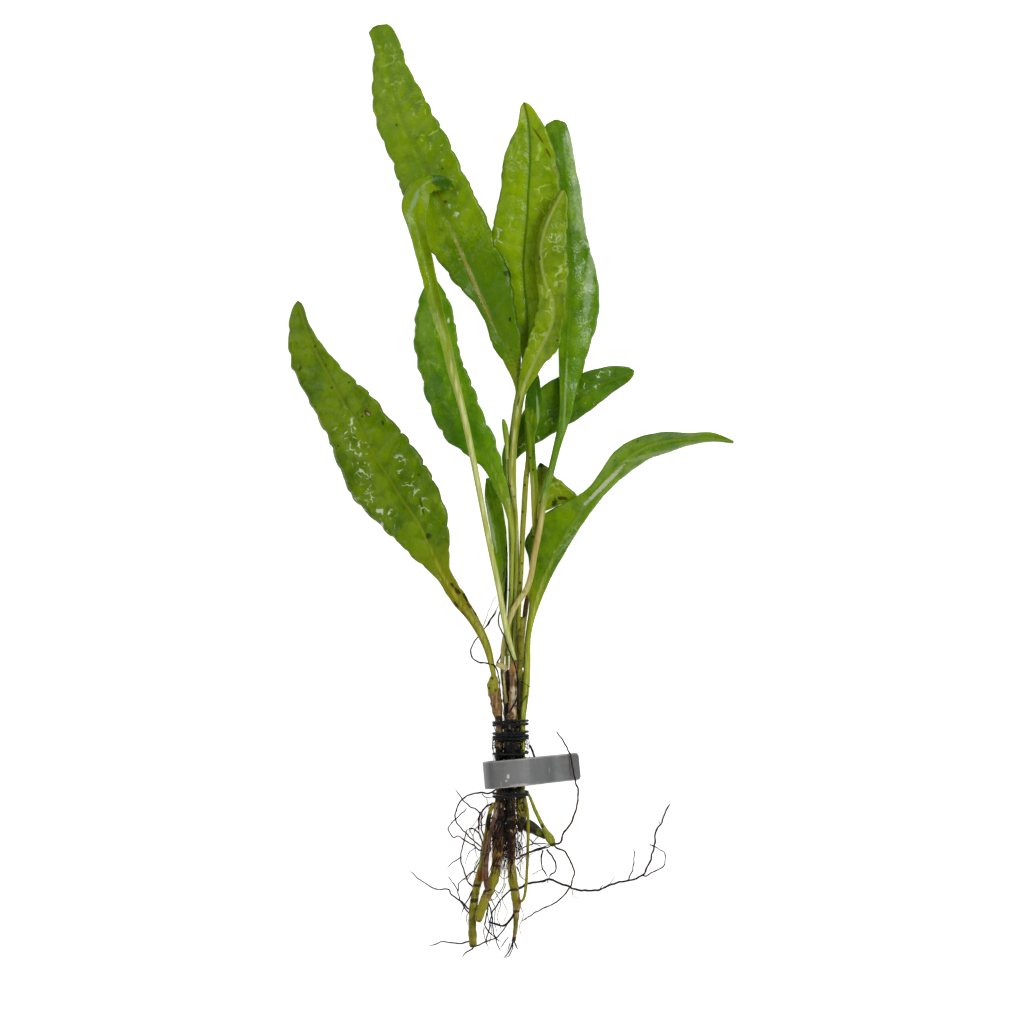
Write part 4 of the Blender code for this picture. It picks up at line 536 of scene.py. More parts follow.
# Each root: half thickness at both ends, then its route
ROOT_ROUTES: dict[str, tuple[float, float, list[Point]]] = {
    "root_over_weight": (0.3, 0.2, [
        (13.0, -95.6, 2.8), (14.0, -93.0, 3.2), (16.1, -90.0, 3.6), (17.7, -85.2, 3.8),
        (18.0, -81.9, 3.8), (17.4, -79.0, 3.7), (16.6, -75.7, 3.5), (15.8, -71.4, 3.0),
        (14.4, -68.7, 2.4), (12.0, -65.2, 1.8)]),
    "root_long": (0.33, 0.22, [
        (2.6, -107.6, 1.5), (4.2, -106.5, 1.2), (7.4, -106.1, 0.9), (10.4, -105.4, 0.8),
        (12.3, -106.2, 0.7), (15.3, -107.3, 0.6), (16.9, -108.1, 0.5), (20.4, -108.4, 0.45),
        (23.4, -108.4, 0.5), (26.9, -106.8, 0.6), (33.9, -105.2, 0.6), (35.5, -104.1, 0.6),
        (37.1, -101.4, 0.6), (38.2, -98.4, 0.6), (38.7, -95.7, 0.6), (39.0, -92.7, 0.6),
        (40.4, -90.3, 0.6), (42.0, -86.5, 0.5), (43.1, -84.6, 0.4)]),
    "root_long_twig": (0.2, 0.14, [
        (32.0, -104.5, 0.7), (32.8, -102.5, 0.8), (33.3, -97.9, 0.6), (32.5, -97.1, 0.5)]),
    "root_long_hook": (0.2, 0.14, [
        (36.5, -104.4, 0.7), (38.2, -103.5, 0.9), (40.6, -102.2, 1.2), (41.7, -100.3, 1.4),
        (40.9, -97.9, 1.5), (38.7, -96.5, 1.5), (37.4, -96.0, 1.3)]),
    "root_bow": (0.26, 0.18, [
        (12.3, -97.0, 2.0), (14.2, -97.6, 1.9), (15.8, -100.3, 1.8), (16.9, -103.0, 1.7),
        (16.6, -105.4, 1.6), (15.8, -107.3, 1.5), (14.7, -109.2, 1.2), (12.3, -111.4, 0.9),
        (10.4, -112.5, 0.8), (8.0, -113.5, 0.7), (5.3, -115.2, 0.5), (2.8, -116.7, 0.4)]),
    "root_right_outer": (0.26, 0.2, [
        (9.5, -97.3, 1.8), (10.9, -99.0, 1.9), (12.0, -101.4, 1.9), (11.7, -103.3, 1.8),
        (10.5, -104.4, 1.7)]),
    "root_right_inner": (0.24, 0.18, [
        (8.5, -97.5, 1.6), (8.0, -100.0, 1.7), (8.5, -102.5, 1.8), (8.9, -103.6, 1.8)]),
    "root_right_upper": (0.24, 0.18, [
        (1.2, -99.9, 3.7), (4.7, -98.1, 4.4), (7.7, -97.3, 4.2), (9.4, -96.8, 3.6)]),
    "root_left_bow": (0.24, 0.18, [
        (-6.4, -82.1, 3.6), (-8.0, -81.9, 3.2), (-11.2, -82.5, 2.4), (-13.4, -83.8, 1.8),
        (-14.7, -86.0, 1.4), (-15.3, -88.2, 1.2), (-15.0, -89.5, 1.2), (-13.4, -91.9, 1.2),
        (-11.2, -94.1, 1.4), (-9.6, -95.4, 1.6), (-8.6, -96.3, 1.9)]),
    "root_left_upper": (0.24, 0.15, [
        (-8.9, -92.0, 1.9), (-8.8, -89.5, 1.8), (-8.7, -87.6, 1.7), (-9.4, -86.6, 1.5),
        (-10.9, -86.0, 1.2), (-12.3, -84.7, 0.9), (-13.6, -83.3, 0.7), (-15.3, -80.9, 0.5)]),
    "root_left_outer": (0.22, 0.16, [
        (-8.7, -97.6, 1.3), (-9.9, -96.4, 2.2), (-12.0, -95.2, 2.1), (-14.2, -93.8, 2.0),
        (-15.5, -94.1, 2.0), (-16.3, -93.3, 2.0), (-17.1, -91.9, 2.0), (-16.6, -90.6, 2.1),
        (-15.3, -89.2, 2.1), (-13.4, -87.6, 2.1), (-12.0, -85.9, 2.0)]),
    "root_left_red": (0.26, 0.18, [
        (-5.2, -84.9, 5.2), (-6.6, -85.5, 5.7), (-7.7, -86.6, 5.2), (-8.2, -88.4, 4.4),
        (-8.1, -90.8, 3.6), (-7.8, -92.8, 3.0)]),
    "root_left_arc": (0.22, 0.16, [
        (-11.2, -106.8, 0.9), (-12.0, -105.4, 0.6), (-12.8, -103.3, 0.5), (-13.6, -100.6, 0.4),
        (-13.6, -98.1, 0.4), (-12.8, -94.9, 0.4), (-12.3, -92.9, 0.4)]),
    "root_left_wave": (0.22, 0.16, [
        (-11.5, -91.7, 0.9), (-10.1, -91.9, 0.9), (-8.8, -93.0, 1.0), (-8.0, -94.9, 1.1),
        (-7.9, -96.3, 1.1), (-8.2, -98.1, 0.9), (-8.7, -100.8, 0.8), (-10.3, -103.0, 0.9),
        (-12.3, -104.9, 1.3), (-14.2, -106.5, 1.0), (-14.4, -108.4, 0.7), (-14.7, -109.2, 0.5)]),
    "root_left_twig": (0.18, 0.12, [
        (-14.2, -99.8, 0.5), (-16.1, -101.1, 0.5), (-17.7, -102.5, 0.4)]),
    "root_low_long": (0.24, 0.14, [
        (-11.9, -113.3, 0.9), (-12.8, -112.2, 0.7), (-14.4, -110.8, 0.6), (-16.3, -109.5, 0.5),
        (-17.1, -108.1, 0.5), (-20.4, -108.1, 0.5), (-22.8, -106.8, 0.5), (-25.2, -105.2, 0.45),
        (-27.7, -103.0, 0.4)]),
    "root_low_short": (0.2, 0.14, [
        (-12.0, -114.0, 1.5), (-12.8, -112.9, 1.5), (-13.9, -110.8, 1.4), (-15.0, -107.6, 1.2),
        (-17.4, -104.4, 0.6)]),
    "root_low_cross": (0.2, 0.14, [
        (-11.0, -109.2, 2.0), (-11.7, -110.8, 2.1), (-12.8, -112.7, 2.2), (-13.6, -114.9, 1.4)]),
    "root_low_teal": (0.24, 0.14, [
        (-11.9, -122.4, 0.9), (-13.9, -122.7, 0.6), (-15.8, -122.7, 0.5), (-17.7, -122.2, 0.45),
        (-19.8, -122.7, 0.4), (-22.5, -123.5, 0.35)]),
    "root_end_left": (0.24, 0.14, [
        (-10.6, -124.2, 1.0), (-12.4, -125.3, 0.6), (-13.5, -126.7, 0.35)]),
    "root_end_cross": (0.22, 0.16, [
        (-9.0, -123.2, 0.7), (-7.2, -122.4, 0.6), (-4.5, -121.4, 0.5), (-2.6, -119.7, 0.5),
        (-1.2, -117.6, 0.5), (-0.5, -116.4, 0.6)]),
    "root_inner_long": (0.24, 0.16, [
        (-0.7, -108.6, 2.1), (-2.6, -110.6, 2.1), (-4.7, -113.5, 2.1), (-5.8, -116.8, 2.1),
        (-5.9, -118.4, 2.1), (-6.6, -120.8, 1.7), (-6.9, -123.3, 1.2)]),
    "root_inner_short": (0.22, 0.16, [
        (-6.4, -113.4, 2.5), (-6.8, -115.2, 1.9), (-7.2, -117.9, 1.4), (-6.1, -119.5, 1.1),
        (-4.2, -121.4, 1.1), (-2.6, -122.4, 0.9)]),
    "root_inner_top": (0.22, 0.14, [
        (-5.6, -113.4, 3.1), (-5.2, -117.0, 3.0), (-4.7, -120.3, 2.2), (-4.2, -121.9, 1.8),
        (-3.6, -123.5, 1.2), (-2.8, -125.2, 0.5)]),
    "root_end_long": (0.26, 0.14, [
        (0.2, -122.9, 0.8), (-0.9, -125.3, 0.5), (-2.3, -126.9, 0.35)]),
    "root_end_right": (0.24, 0.14, [
        (0.9, -122.9, 0.8), (2.0, -124.8, 0.4)]),
    "root_crown_loop": (0.24, 0.16, [
        (-6.9, -46.8, 5.9), (-9.0, -46.6, 5.4), (-10.9, -44.7, 4.6), (-10.9, -42.8, 4.0),
        (-9.6, -40.6, 3.8), (-7.4, -37.7, 4.0), (-5.5, -35.2, 4.3), (-3.9, -32.5, 4.6)]),
    "root_crown_hair": (0.22, 0.16, [
        (-0.1, -59.3, 8.3), (1.2, -57.1, 8.5), (1.8, -53.6, 8.3), (1.5, -49.8, 8.5),
        (0.9, -47.3, 9.3), (-0.7, -43.1, 10.0), (-1.9, -39.9, 9.6), (-3.4, -36.4, 7.4),
        (-3.4, -34.0, 6.0), (-1.7, -29.0, 4.6), (-1.2, -20.7, 3.8), (-1.3, -14.4, 3.4)]),
}

# Thin side roots and hairs: half thickness at the foot, then the route
FINE_ROOTS: list[tuple[float, list[Point]]] = [
    (0.13, [(8.5, -102.7, 1.2), (6.6, -103.5, 1.4), (4.7, -104.6, 1.2)]),
    (0.14, [(1.5, -101.4, 3.6), (3.6, -99.2, 3.4), (6.6, -98.1, 2.6)]),
    (0.10, [(5.3, -94.6, 2.2), (6.1, -95.7, 2.2), (8.5, -96.8, 2.0)]),
    (0.16, [(-8.0, -82.2, 3.4), (-7.2, -83.0, 3.8), (-6.1, -83.3, 4.2), (-5.0, -83.0, 4.6)]),
    (0.13, [(-11.5, -91.9, 1.8), (-10.4, -93.8, 2.4), (-9.9, -96.5, 2.8), (-9.6, -98.4, 2.8),
            (-8.8, -100.0, 2.6)]),
    (0.13, [(-9.0, -100.0, 2.4), (-9.9, -101.9, 2.2), (-9.9, -103.8, 1.9), (-9.0, -105.2, 1.8)]),
    (0.28, [(-5.8, -117.0, 0.9), (-3.6, -117.6, 0.8), (-2.0, -118.1, 1.0), (-0.7, -117.0, 1.4)]),
    (0.15, [(-7.4, -118.4, 0.9), (-7.4, -120.8, 0.8), (-6.6, -123.0, 0.6), (-5.8, -124.9, 0.4)]),
    (0.14, [(-4.5, -108.1, 3.6), (-3.4, -108.9, 3.4), (-2.3, -107.3, 3.4), (-2.0, -104.9, 3.8),
            (-2.0, -102.7, 4.2)]),
    (0.14, [(-6.1, -111.1, 3.0), (-4.5, -110.6, 3.2), (-3.4, -109.2, 3.2), (-1.8, -108.7, 3.2)]),
    (0.14, [(1.5, -101.9, 3.2), (2.0, -103.3, 2.8), (2.6, -104.9, 2.4), (4.5, -105.4, 1.8)]),
    (0.12, [(16.6, -108.4, 0.6), (16.6, -109.8, 0.5), (17.4, -110.3, 0.5), (18.8, -109.8, 0.5)]),
    (0.11, [(23.9, -108.1, 0.6), (24.7, -107.1, 0.5), (26.3, -106.8, 0.5)]),
    (0.11, [(26.6, -106.5, 0.6), (27.7, -105.2, 0.6), (27.9, -103.3, 0.5)]),
    (0.13, [(40.1, -90.3, 0.6), (39.6, -89.0, 0.7)]),
    (0.12, [(-7.7, -37.1, 4.6), (-6.3, -33.3, 5.4), (-5.3, -30.6, 6.4), (-3.9, -28.5, 7.2)]),
    (0.16, [(-7.2, -37.4, 4.5), (-5.5, -34.7, 5.6), (-3.9, -32.0, 6.4), (-3.4, -30.9, 6.9)]),
    (0.18, [(0.7, -58.2, 8.3), (-0.4, -59.8, 8.1), (-1.5, -60.9, 8.0)]),
    (0.14, [(0.7, -58.2, 8.3), (1.8, -58.7, 8.2), (2.6, -59.0, 7.6)]),
    (0.14, [(2.3, -51.7, 7.6), (3.4, -52.2, 7.6), (4.7, -53.1, 7.3), (5.8, -52.5, 6.8)]),
    (0.16, [(4.2, -55.5, 7.2), (3.4, -56.6, 7.4), (2.6, -57.9, 7.4), (2.0, -59.0, 7.6)]),
    (0.13, [(-2.0, -22.0, 4.6), (-2.3, -23.9, 4.6), (-2.8, -25.8, 4.6)]),
    (0.24, [(-0.7, -26.9, 3.6), (-0.4, -28.8, 3.4), (-0.4, -30.4, 3.4), (-0.9, -33.3, 3.4)]),
    (0.20, [(-0.9, -121.1, 1.1), (-2.0, -122.6, 0.8), (-3.1, -124.3, 0.5)]),
    (0.18, [(-0.4, -122.7, 1.0), (-0.8, -124.0, 0.8), (-1.2, -125.1, 0.5)]),
    (0.20, [(0.4, -123.0, 1.0), (0.1, -124.6, 0.9), (-0.9, -126.3, 0.6), (-2.2, -126.6, 0.4)]),
    (0.18, [(5.0, -97.9, 3.0), (7.6, -97.1, 2.4), (9.5, -96.5, 2.2)]),
    (0.16, [(-8.4, -87.1, 2.6), (-8.6, -89.2, 2.2), (-8.8, -91.9, 1.8), (-8.5, -94.6, 2.2)]),
    (0.36, [(0.7, -114.6, 2.2), (-0.7, -116.8, 1.6), (-2.3, -118.0, 1.0), (-3.9, -117.6, 0.8),
            (-6.6, -116.9, 1.4)]),
    (0.14, [(10.4, -105.2, 1.3), (9.6, -106.0, 1.0), (10.7, -106.8, 0.7)]),
    (0.22, [(1.9, -97.4, 3.6), (4.2, -96.3, 3.0), (7.4, -95.6, 2.6), (10.8, -96.0, 2.6)]),
    (0.20, [(2.4, -98.9, 3.4), (4.9, -97.9, 3.0), (8.1, -96.7, 2.6), (10.9, -95.9, 2.4)]),
    (0.17, [(4.0, -91.6, 3.0), (4.6, -94.2, 2.8), (6.0, -95.6, 2.4), (8.0, -96.4, 2.2)]),
    (0.15, [(7.3, -93.6, 2.4), (6.1, -95.0, 2.4), (5.2, -96.8, 2.6)]),
    (0.26, [(-4.0, -46.9, 6.6), (-3.2, -45.6, 6.2), (-2.9, -44.2, 5.4)]),
    (0.22, [(-4.6, -47.4, 6.6), (-3.8, -49.0, 6.4), (-3.3, -52.0, 6.2), (-2.9, -56.0, 6.2),
            (-2.6, -60.8, 6.6)]),
    (0.20, [(-2.6, -48.6, 5.4), (-2.4, -52.4, 5.8), (-2.2, -56.4, 6.2), (-2.0, -61.0, 6.8)]),
    (0.20, [(1.6, -52.0, 7.2), (1.9, -56.0, 7.0), (1.7, -60.6, 7.4)]),
    (0.20, [(-4.7, -66.6, 6.6), (-5.1, -68.8, 6.2), (-5.0, -70.6, 6.0), (-4.5, -72.4, 6.4)]),
    (0.20, [(-4.2, -66.0, 7.4), (-4.4, -69.0, 7.4), (-3.9, -72.2, 8.0)]),
    (0.15, [(-5.6, -110.4, 2.6), (-4.4, -113.6, 1.8), (-4.6, -117.0, 1.0), (-3.6, -120.6, 0.6)]),
    (0.14, [(-4.6, -108.4, 3.0), (-3.0, -111.8, 2.0), (-3.8, -115.4, 1.2), (-2.6, -119.4, 0.7)]),
    (0.13, [(-1.6, -106.4, 2.4), (-2.6, -110.4, 1.6), (-1.2, -114.0, 1.0), (-2.4, -117.6, 0.6)]),
    (0.14, [(-6.2, -111.6, 2.4), (-6.4, -115.6, 1.2), (-5.4, -119.0, 0.7), (-6.0, -122.8, 0.5)]),
    (0.13, [(0.4, -103.6, 3.2), (-2.0, -105.2, 2.8), (-3.4, -104.0, 3.2), (-4.4, -102.2, 4.4)]),
    (0.15, [(-4.8, -88.0, 5.6), (-7.0, -90.4, 4.0), (-9.4, -91.2, 2.6), (-10.6, -94.4, 1.6)]),
    (0.14, [(-7.6, -98.0, 3.2), (-9.8, -97.0, 2.2), (-11.8, -98.8, 1.2), (-12.6, -102.0, 0.6)]),
    (0.15, [(-8.6, -104.0, 2.8), (-10.6, -103.4, 1.8), (-12.0, -105.6, 1.0), (-13.4, -105.0, 0.6)]),
    (0.13, [(-10.6, -113.6, 1.8), (-12.2, -115.4, 0.9), (-11.8, -118.0, 0.6)]),
    (0.13, [(2.0, -112.0, 1.6), (3.2, -115.0, 0.9), (2.2, -118.4, 0.7), (3.0, -121.4, 0.5)]),
]

# Where the visible roots go on beyond the model's: points before the foot and after the tip
ROOT_ENDS: dict[str, tuple[list[Point], list[Point]]] = {
    "root_over_weight": ([(11.5, -95.8, 2.6)], []),
    "root_bow": ([(11.4, -96.0, 2.3)], []),
    "root_right_upper": ([], [(10.6, -96.2, 3.0), (11.4, -96.0, 2.6)]),
    "root_right_outer": ([], [(10.3, -105.1, 1.3)]),
    "root_right_inner": ([], [(10.0, -104.9, 1.4)]),
    "root_long": ([(0.9, -108.2, 1.9)], []),
    "root_long_twig": ([(31.6, -105.9, 0.6)], []),
    "root_long_hook": ([(35.3, -104.4, 0.6)], [(38.5, -96.6, 0.9)]),
    "root_left_bow": ([(-4.2, -81.0, 4.4), (-5.0, -81.6, 4.0)], [(-7.9, -96.9, 2.2)]),
    "root_left_outer": ([(-6.8, -96.4, 2.6), (-7.6, -97.2, 1.9)], []),
    "root_left_red": ([(-4.2, -84.6, 5.3)], [(-7.4, -94.8, 2.6)]),
    "root_left_arc": ([(-10.0, -107.9, 1.2)], [(-12.1, -92.0, 0.7), (-11.5, -91.7, 0.9)]),
    "root_left_twig": ([(-13.6, -99.4, 0.5)], []),
    "root_low_long": ([(-11.2, -113.4, 1.2)], []),
    "root_low_short": ([(-11.0, -114.9, 1.4)], []),
    "root_low_cross": ([(-10.1, -107.6, 1.9)], []),
    "root_low_teal": ([(-11.2, -122.0, 1.1)], []),
    "root_end_left": ([(-10.2, -123.4, 1.1)], []),
    "root_end_cross": ([(-9.6, -123.4, 1.0)], [(0.3, -115.0, 1.0)]),
    "root_inner_long": ([(0.2, -108.0, 2.1)], []),
    "root_inner_short": ([(-6.6, -112.2, 2.9)], []),
    "root_inner_top": ([(-6.3, -111.6, 3.3)], []),
    "root_end_long": ([(0.5, -122.0, 1.0)], []),
    "root_end_right": ([(0.6, -122.0, 0.9)], []),
    "root_crown_loop": ([(-4.6, -47.3, 6.8), (-5.6, -47.2, 6.6)], []),
}


@dataclass
class Skin:
    """One point of a lofted surface, with what its finish needs to know.

    across and along are millimetres from the middle line and from the foot. cell is 0 on a
    vein and 1 between veins, and edge is 1 on a blade's margin.
    """

    spot: Vector
    across: float
    along: float
    cell: float = 1.0
    edge: float = 0.0


@dataclass
class Stop:
    """One place along a piece: its row of sizes, distance from the foot and direction."""

    row: list[float]
    distance: float
    heading: Vector


def sample(rows: Sequence[Sequence[float]], step: float) -> list[Stop]:
    """Reads rows of sizes along a smooth curve through them.

    Args:
        rows: rows that start with x, y and z, in millimetres.
        step: about how far apart the answers lie.

    Returns:
        The stops from the first row to the last.
    """
    reach = [0.0]
    for first, second in zip(rows, rows[1:]):
        reach.append(reach[-1] + math.dist(first[:3], second[:3]))
    last = len(rows) - 1
    slopes = []
    for index in range(len(rows)):
        low, high = max(index - 1, 0), min(index + 1, last)
        span = reach[high] - reach[low]
        slopes.append([(b - a) / span for a, b in zip(rows[low], rows[high])])
    stops = []
    for index in range(last):
        length = reach[index + 1] - reach[index]
        count = max(1, round(length / step))
        knots = list(zip(rows[index], slopes[index], rows[index + 1], slopes[index + 1]))
        for part in range(count + (index == last - 1)):
            t = part / count
            mix = (2 * t**3 - 3 * t**2 + 1, t**3 - 2 * t**2 + t, 3 * t**2 - 2 * t**3, t**3 - t**2)
            rate = (6 * t**2 - 6 * t, 3 * t**2 - 4 * t + 1, 6 * t - 6 * t**2, 3 * t**2 - 2 * t)
            row = [a * mix[0] + length * m * mix[1] + b * mix[2] + length * n * mix[3]
                   for a, m, b, n in knots]
            turn = [a * rate[0] + length * m * rate[1] + b * rate[2] + length * n * rate[3]
                    for a, m, b, n in knots[:3]]
            stops.append(Stop(row, reach[index] + t * length, Vector(turn).normalized()))
    return stops


def loft(rings: int, sides: int, skin: Callable[[int, float], Skin]) -> bmesh.types.BMesh:
    """Stretches a ball over a piece's surface, so that it is closed from foot to tip.

    Args:
        rings: how many rings of points the piece has between the two poles.
        sides: how many points a ring has.
        skin: gives the surface at a ring and an angle. Ring 0 and ring rings + 1 are the poles.

    Returns:
        The mesh in millimetres, with the UV map "blade" and the attributes "cell" and "edge".
    """
    mesh = bmesh.new()
    cell = mesh.verts.layers.float.new("cell")
    edge = mesh.verts.layers.float.new("edge")
    chart = mesh.loops.layers.uv.new("blade")
    bmesh.ops.create_uvsphere(mesh, u_segments=sides, v_segments=rings + 1, radius=1.0)
    places = {}
    for corner in mesh.verts:
        height = min(max(corner.co.z, -1.0), 1.0)
        ring = round(math.acos(height) / math.pi * (rings + 1))
        found = skin(ring, math.atan2(corner.co.y, corner.co.x) % math.tau)
        corner.co = found.spot
        corner[cell] = found.cell
        corner[edge] = found.edge
        places[corner] = (found.across, found.along)
    for face in mesh.faces:
        for loop in face.loops:
            loop[chart].uv = places[loop.vert]
    return mesh


def finish_piece(name: str, mesh: bmesh.types.BMesh, material: bpy.types.Material,
                 nodes: Iterable[str] = ()) -> bpy.types.Object:
    """Turns a mesh in millimetres into a piece of the plant.

    Args:
        name: the piece's name.
        mesh: its mesh, which is used up.
        material: its finish.
        nodes: the model's nodes that it stands for.

    Returns:
        The new object, at the origin.
    """
    bmesh.ops.recalc_face_normals(mesh, faces=mesh.faces[:])
    bmesh.ops.scale(mesh, vec=(MM, MM, MM), verts=mesh.verts[:])
    data = bpy.data.meshes.new(name)
    mesh.to_mesh(data)
    mesh.free()
    data.shade_smooth()
    data.materials.append(material)
    piece = bpy.data.objects.new(name, data)
    bpy.context.scene.collection.objects.link(piece)
    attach(piece, "root")
    if nodes:
        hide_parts(*nodes)
    log.info("%s: %d faces", name, len(data.polygons))
    return piece


@dataclass(frozen=True)
class StainOrPaintedLight:
    """A mark at one place of a piece, seen from above, in millimetres and degrees. It is a stain of
    the thing, or a patch of painted highlight, sheen or shadow.
    """

    x: float
    y: float
    width: float
    length: float
    colour: str
    turn: float = 0.0
    strength: float = 0.9


class Surface:
    """Layers of colour on one material, from the lowest up, and the shader they go to."""

    def __init__(self, name: str, colour: str) -> None:
        """Starts a material with one colour all over."""
        self.material = bpy.data.materials.new(name)
        self.material.use_nodes = True
        self.tree = self.material.node_tree
        self.shader = self.tree.nodes["Principled BSDF"]
        place = add_node(self.tree, "TexCoord").outputs["Object"]
        scaled = add_node(self.tree, "Mapping", inputs={"Vector": place, "Scale": (1 / MM,) * 3})
        self.place = scaled.outputs["Vector"]
        self.colour: Any = linear(colour)

    def chart(self) -> tuple[Any, Any, Any]:
        """Gives the blade map and its two parts: millimetres across and along the piece."""
        blade = add_node(self.tree, "UVMap", {"uv_map": "blade"}).outputs["UV"]
        parts = add_node(self.tree, "SeparateXYZ", inputs={0: blade})
        return blade, parts.outputs["X"], parts.outputs["Y"]

    def attribute(self, name: str) -> Any:
        """Gives a number that the mesh holds at each point."""
        return add_node(self.tree, "Attribute", {"attribute_name": name}).outputs["Fac"]

    def ramp(self, value: Any, low: float, high: float, first: float = 0.0,
             second: float = 1.0) -> Any:
        """Turns a value from low to high into first to second, held at both ends."""
        return add_node(self.tree, "MapRange", {"interpolation_type": "SMOOTHSTEP"},
                        {0: value, 1: low, 2: high, 3: first, 4: second}).outputs[0]

    def product(self, first: Any, second: Any) -> Any:
        """Multiplies two values."""
        return add_node(self.tree, "Math", {"operation": "MULTIPLY"},
                        {0: first, 1: second}).outputs[0]

    def patches(self, grain: Point, low: float, high: float, seed: float = 0.0,
                place: Any = None, detail: float = 3.0) -> Any:
        """Gives soft random patches.

        Args:
            grain: the patches' size along each axis, in millimetres.
            low: the noise value where a patch begins.
            high: the noise value where it is full.
            seed: moves the pattern.
            place: the coordinates, or None for the piece's own in millimetres.
            detail: how many finer layers the noise has.

        Returns:
            A mask from 0 to 1.
        """
        moved = add_node(self.tree, "Mapping", inputs={
            "Vector": place or self.place, "Location": (seed, seed * 0.7, seed * 0.3),
            "Scale": tuple(1.0 / size for size in grain)})
        blur = add_node(self.tree, "TexNoise", inputs={
            "Vector": moved.outputs["Vector"], "Scale": 1.0, "Detail": detail, "Roughness": 0.55})
        return self.ramp(blur.outputs["Fac"], low, high)

    def specks(self, gap: float, radius: float, share: float, place: Any = None) -> Any:
        """Gives small round specks.

        Args:
            gap: the distance between the places where a speck may be, in millimetres.
            radius: a speck's radius, in millimetres.
            share: how many of the places have one, from 0 to 1.
            place: the coordinates, or None for the piece's own in millimetres.

        Returns:
            A mask from 0 to 1.
        """
        dots = add_node(self.tree, "TexVoronoi", inputs={
            "Vector": place or self.place, "Scale": 1.0 / gap, "Randomness": 1.0})
        near = self.ramp(dots.outputs["Distance"], 0.6 * radius / gap, radius / gap, 1.0, 0.0)
        pick = add_node(self.tree, "SeparateColor", inputs={0: dots.outputs["Color"]})
        chosen = self.ramp(pick.outputs[0], 1.0 - share, 1.02 - share)
        return self.product(near, chosen)

    def paint(self, colour: str, mask: Any, strength: float = 1.0) -> None:
        """Lays a colour over what is there, where the mask is not 0."""
        share = mask if strength == 1.0 else self.product(mask, strength)
        mix = add_node(self.tree, "Mix", {"data_type": "RGBA"},
                       {0: share, 6: self.colour, 7: linear(colour)})
        self.colour = mix.outputs[2]

    def area(self, mark: StainOrPaintedLight) -> Any:
        """Gives a mask with a ragged border, 1 inside the mark's ellipse and 0 outside."""
        rough = add_node(self.tree, "TexNoise", inputs={
            "Vector": self.place, "Scale": 1.6, "Detail": 2.0})
        local = add_node(self.tree, "Mapping", {"vector_type": "TEXTURE"}, {
            "Vector": self.place, "Location": (mark.x, mark.y, 0.0),
            "Rotation": (0.0, 0.0, math.radians(mark.turn)),
            "Scale": (mark.width / 2.0, mark.length / 2.0, 100.0)})
        reach = add_node(self.tree, "VectorMath", {"operation": "LENGTH"},
                         {0: local.outputs["Vector"]}).outputs["Value"]
        ragged = add_node(self.tree, "Math", {"operation": "ADD"},
                          {0: reach, 1: rough.outputs["Fac"]}).outputs[0]
        return self.ramp(ragged, 1.1, 1.6, 1.0, 0.0)

    def stain(self, mark: StainOrPaintedLight) -> None:
        """Lays one ragged mark over what is there: a stain, or a patch of painted light or shade."""
        self.paint(mark.colour, self.area(mark), mark.strength)

    def painted_glints(self, chart: Any, zones: Sequence[StainOrPaintedLight], gap: float) -> None:
        """Paints broken bright outlines round the bulges of a wet blade, as painted highlights.

        Args:
            chart: the blade map in millimetres.
            zones: where on the leaf the painted highlights go, where the light would catch the
                bulges.
            gap: about how wide a bulge is, in millimetres.
        """
        sway = add_node(self.tree, "TexNoise", inputs={"Vector": chart, "Scale": 0.5,
                                                       "Detail": 1.0})
        warped = add_node(self.tree, "VectorMath", {"operation": "MULTIPLY_ADD"}, {
            0: sway.outputs["Color"], 1: (2.6, 2.6, 0.0), 2: chart}).outputs["Vector"]
        cells = add_node(self.tree, "TexVoronoi", {"feature": "DISTANCE_TO_EDGE"},
                         {"Vector": warped, "Scale": 1.0 / gap})
        line = self.ramp(cells.outputs["Distance"], 0.02, 0.06, 1.0, 0.0)
        broken = self.patches((2.3, 2.3, 2.3), 0.49, 0.57, 51.0, detail=1.0)
        lit = self.product(line, broken)
        for zone in zones:
            self.paint(zone.colour, self.product(lit, self.area(zone)), zone.strength)

    def bump(self, height: Any, depth: float, strength: float = 1.0) -> None:
        """Adds relief of a depth in millimetres over the relief that is there."""
        inputs = {"Height": height, "Distance": depth * MM, "Strength": strength}
        if self.shader.inputs["Normal"].is_linked:
            inputs["Normal"] = self.shader.inputs["Normal"].links[0].from_socket
        relief = add_node(self.tree, "Bump", inputs=inputs)
        self.tree.links.new(relief.outputs["Normal"], self.shader.inputs["Normal"])

    def done(self, roughness: Any, **settings: float) -> bpy.types.Material:
        """Connects the colour and the roughness, and sets the shader's other numbers.

        Args:
            roughness: a number or a socket.
            settings: shader inputs by name, with _ in the place of a space.

        Returns:
            The finished material.
        """
        self.tree.links.new(self.colour, self.shader.inputs["Base Color"])
        if isinstance(roughness, bpy.types.NodeSocket):
            self.tree.links.new(roughness, self.shader.inputs["Roughness"])
        else:
            self.shader.inputs["Roughness"].default_value = roughness
        for name, value in settings.items():
            self.shader.inputs[name.replace("_", " ")].default_value = value
        return self.material


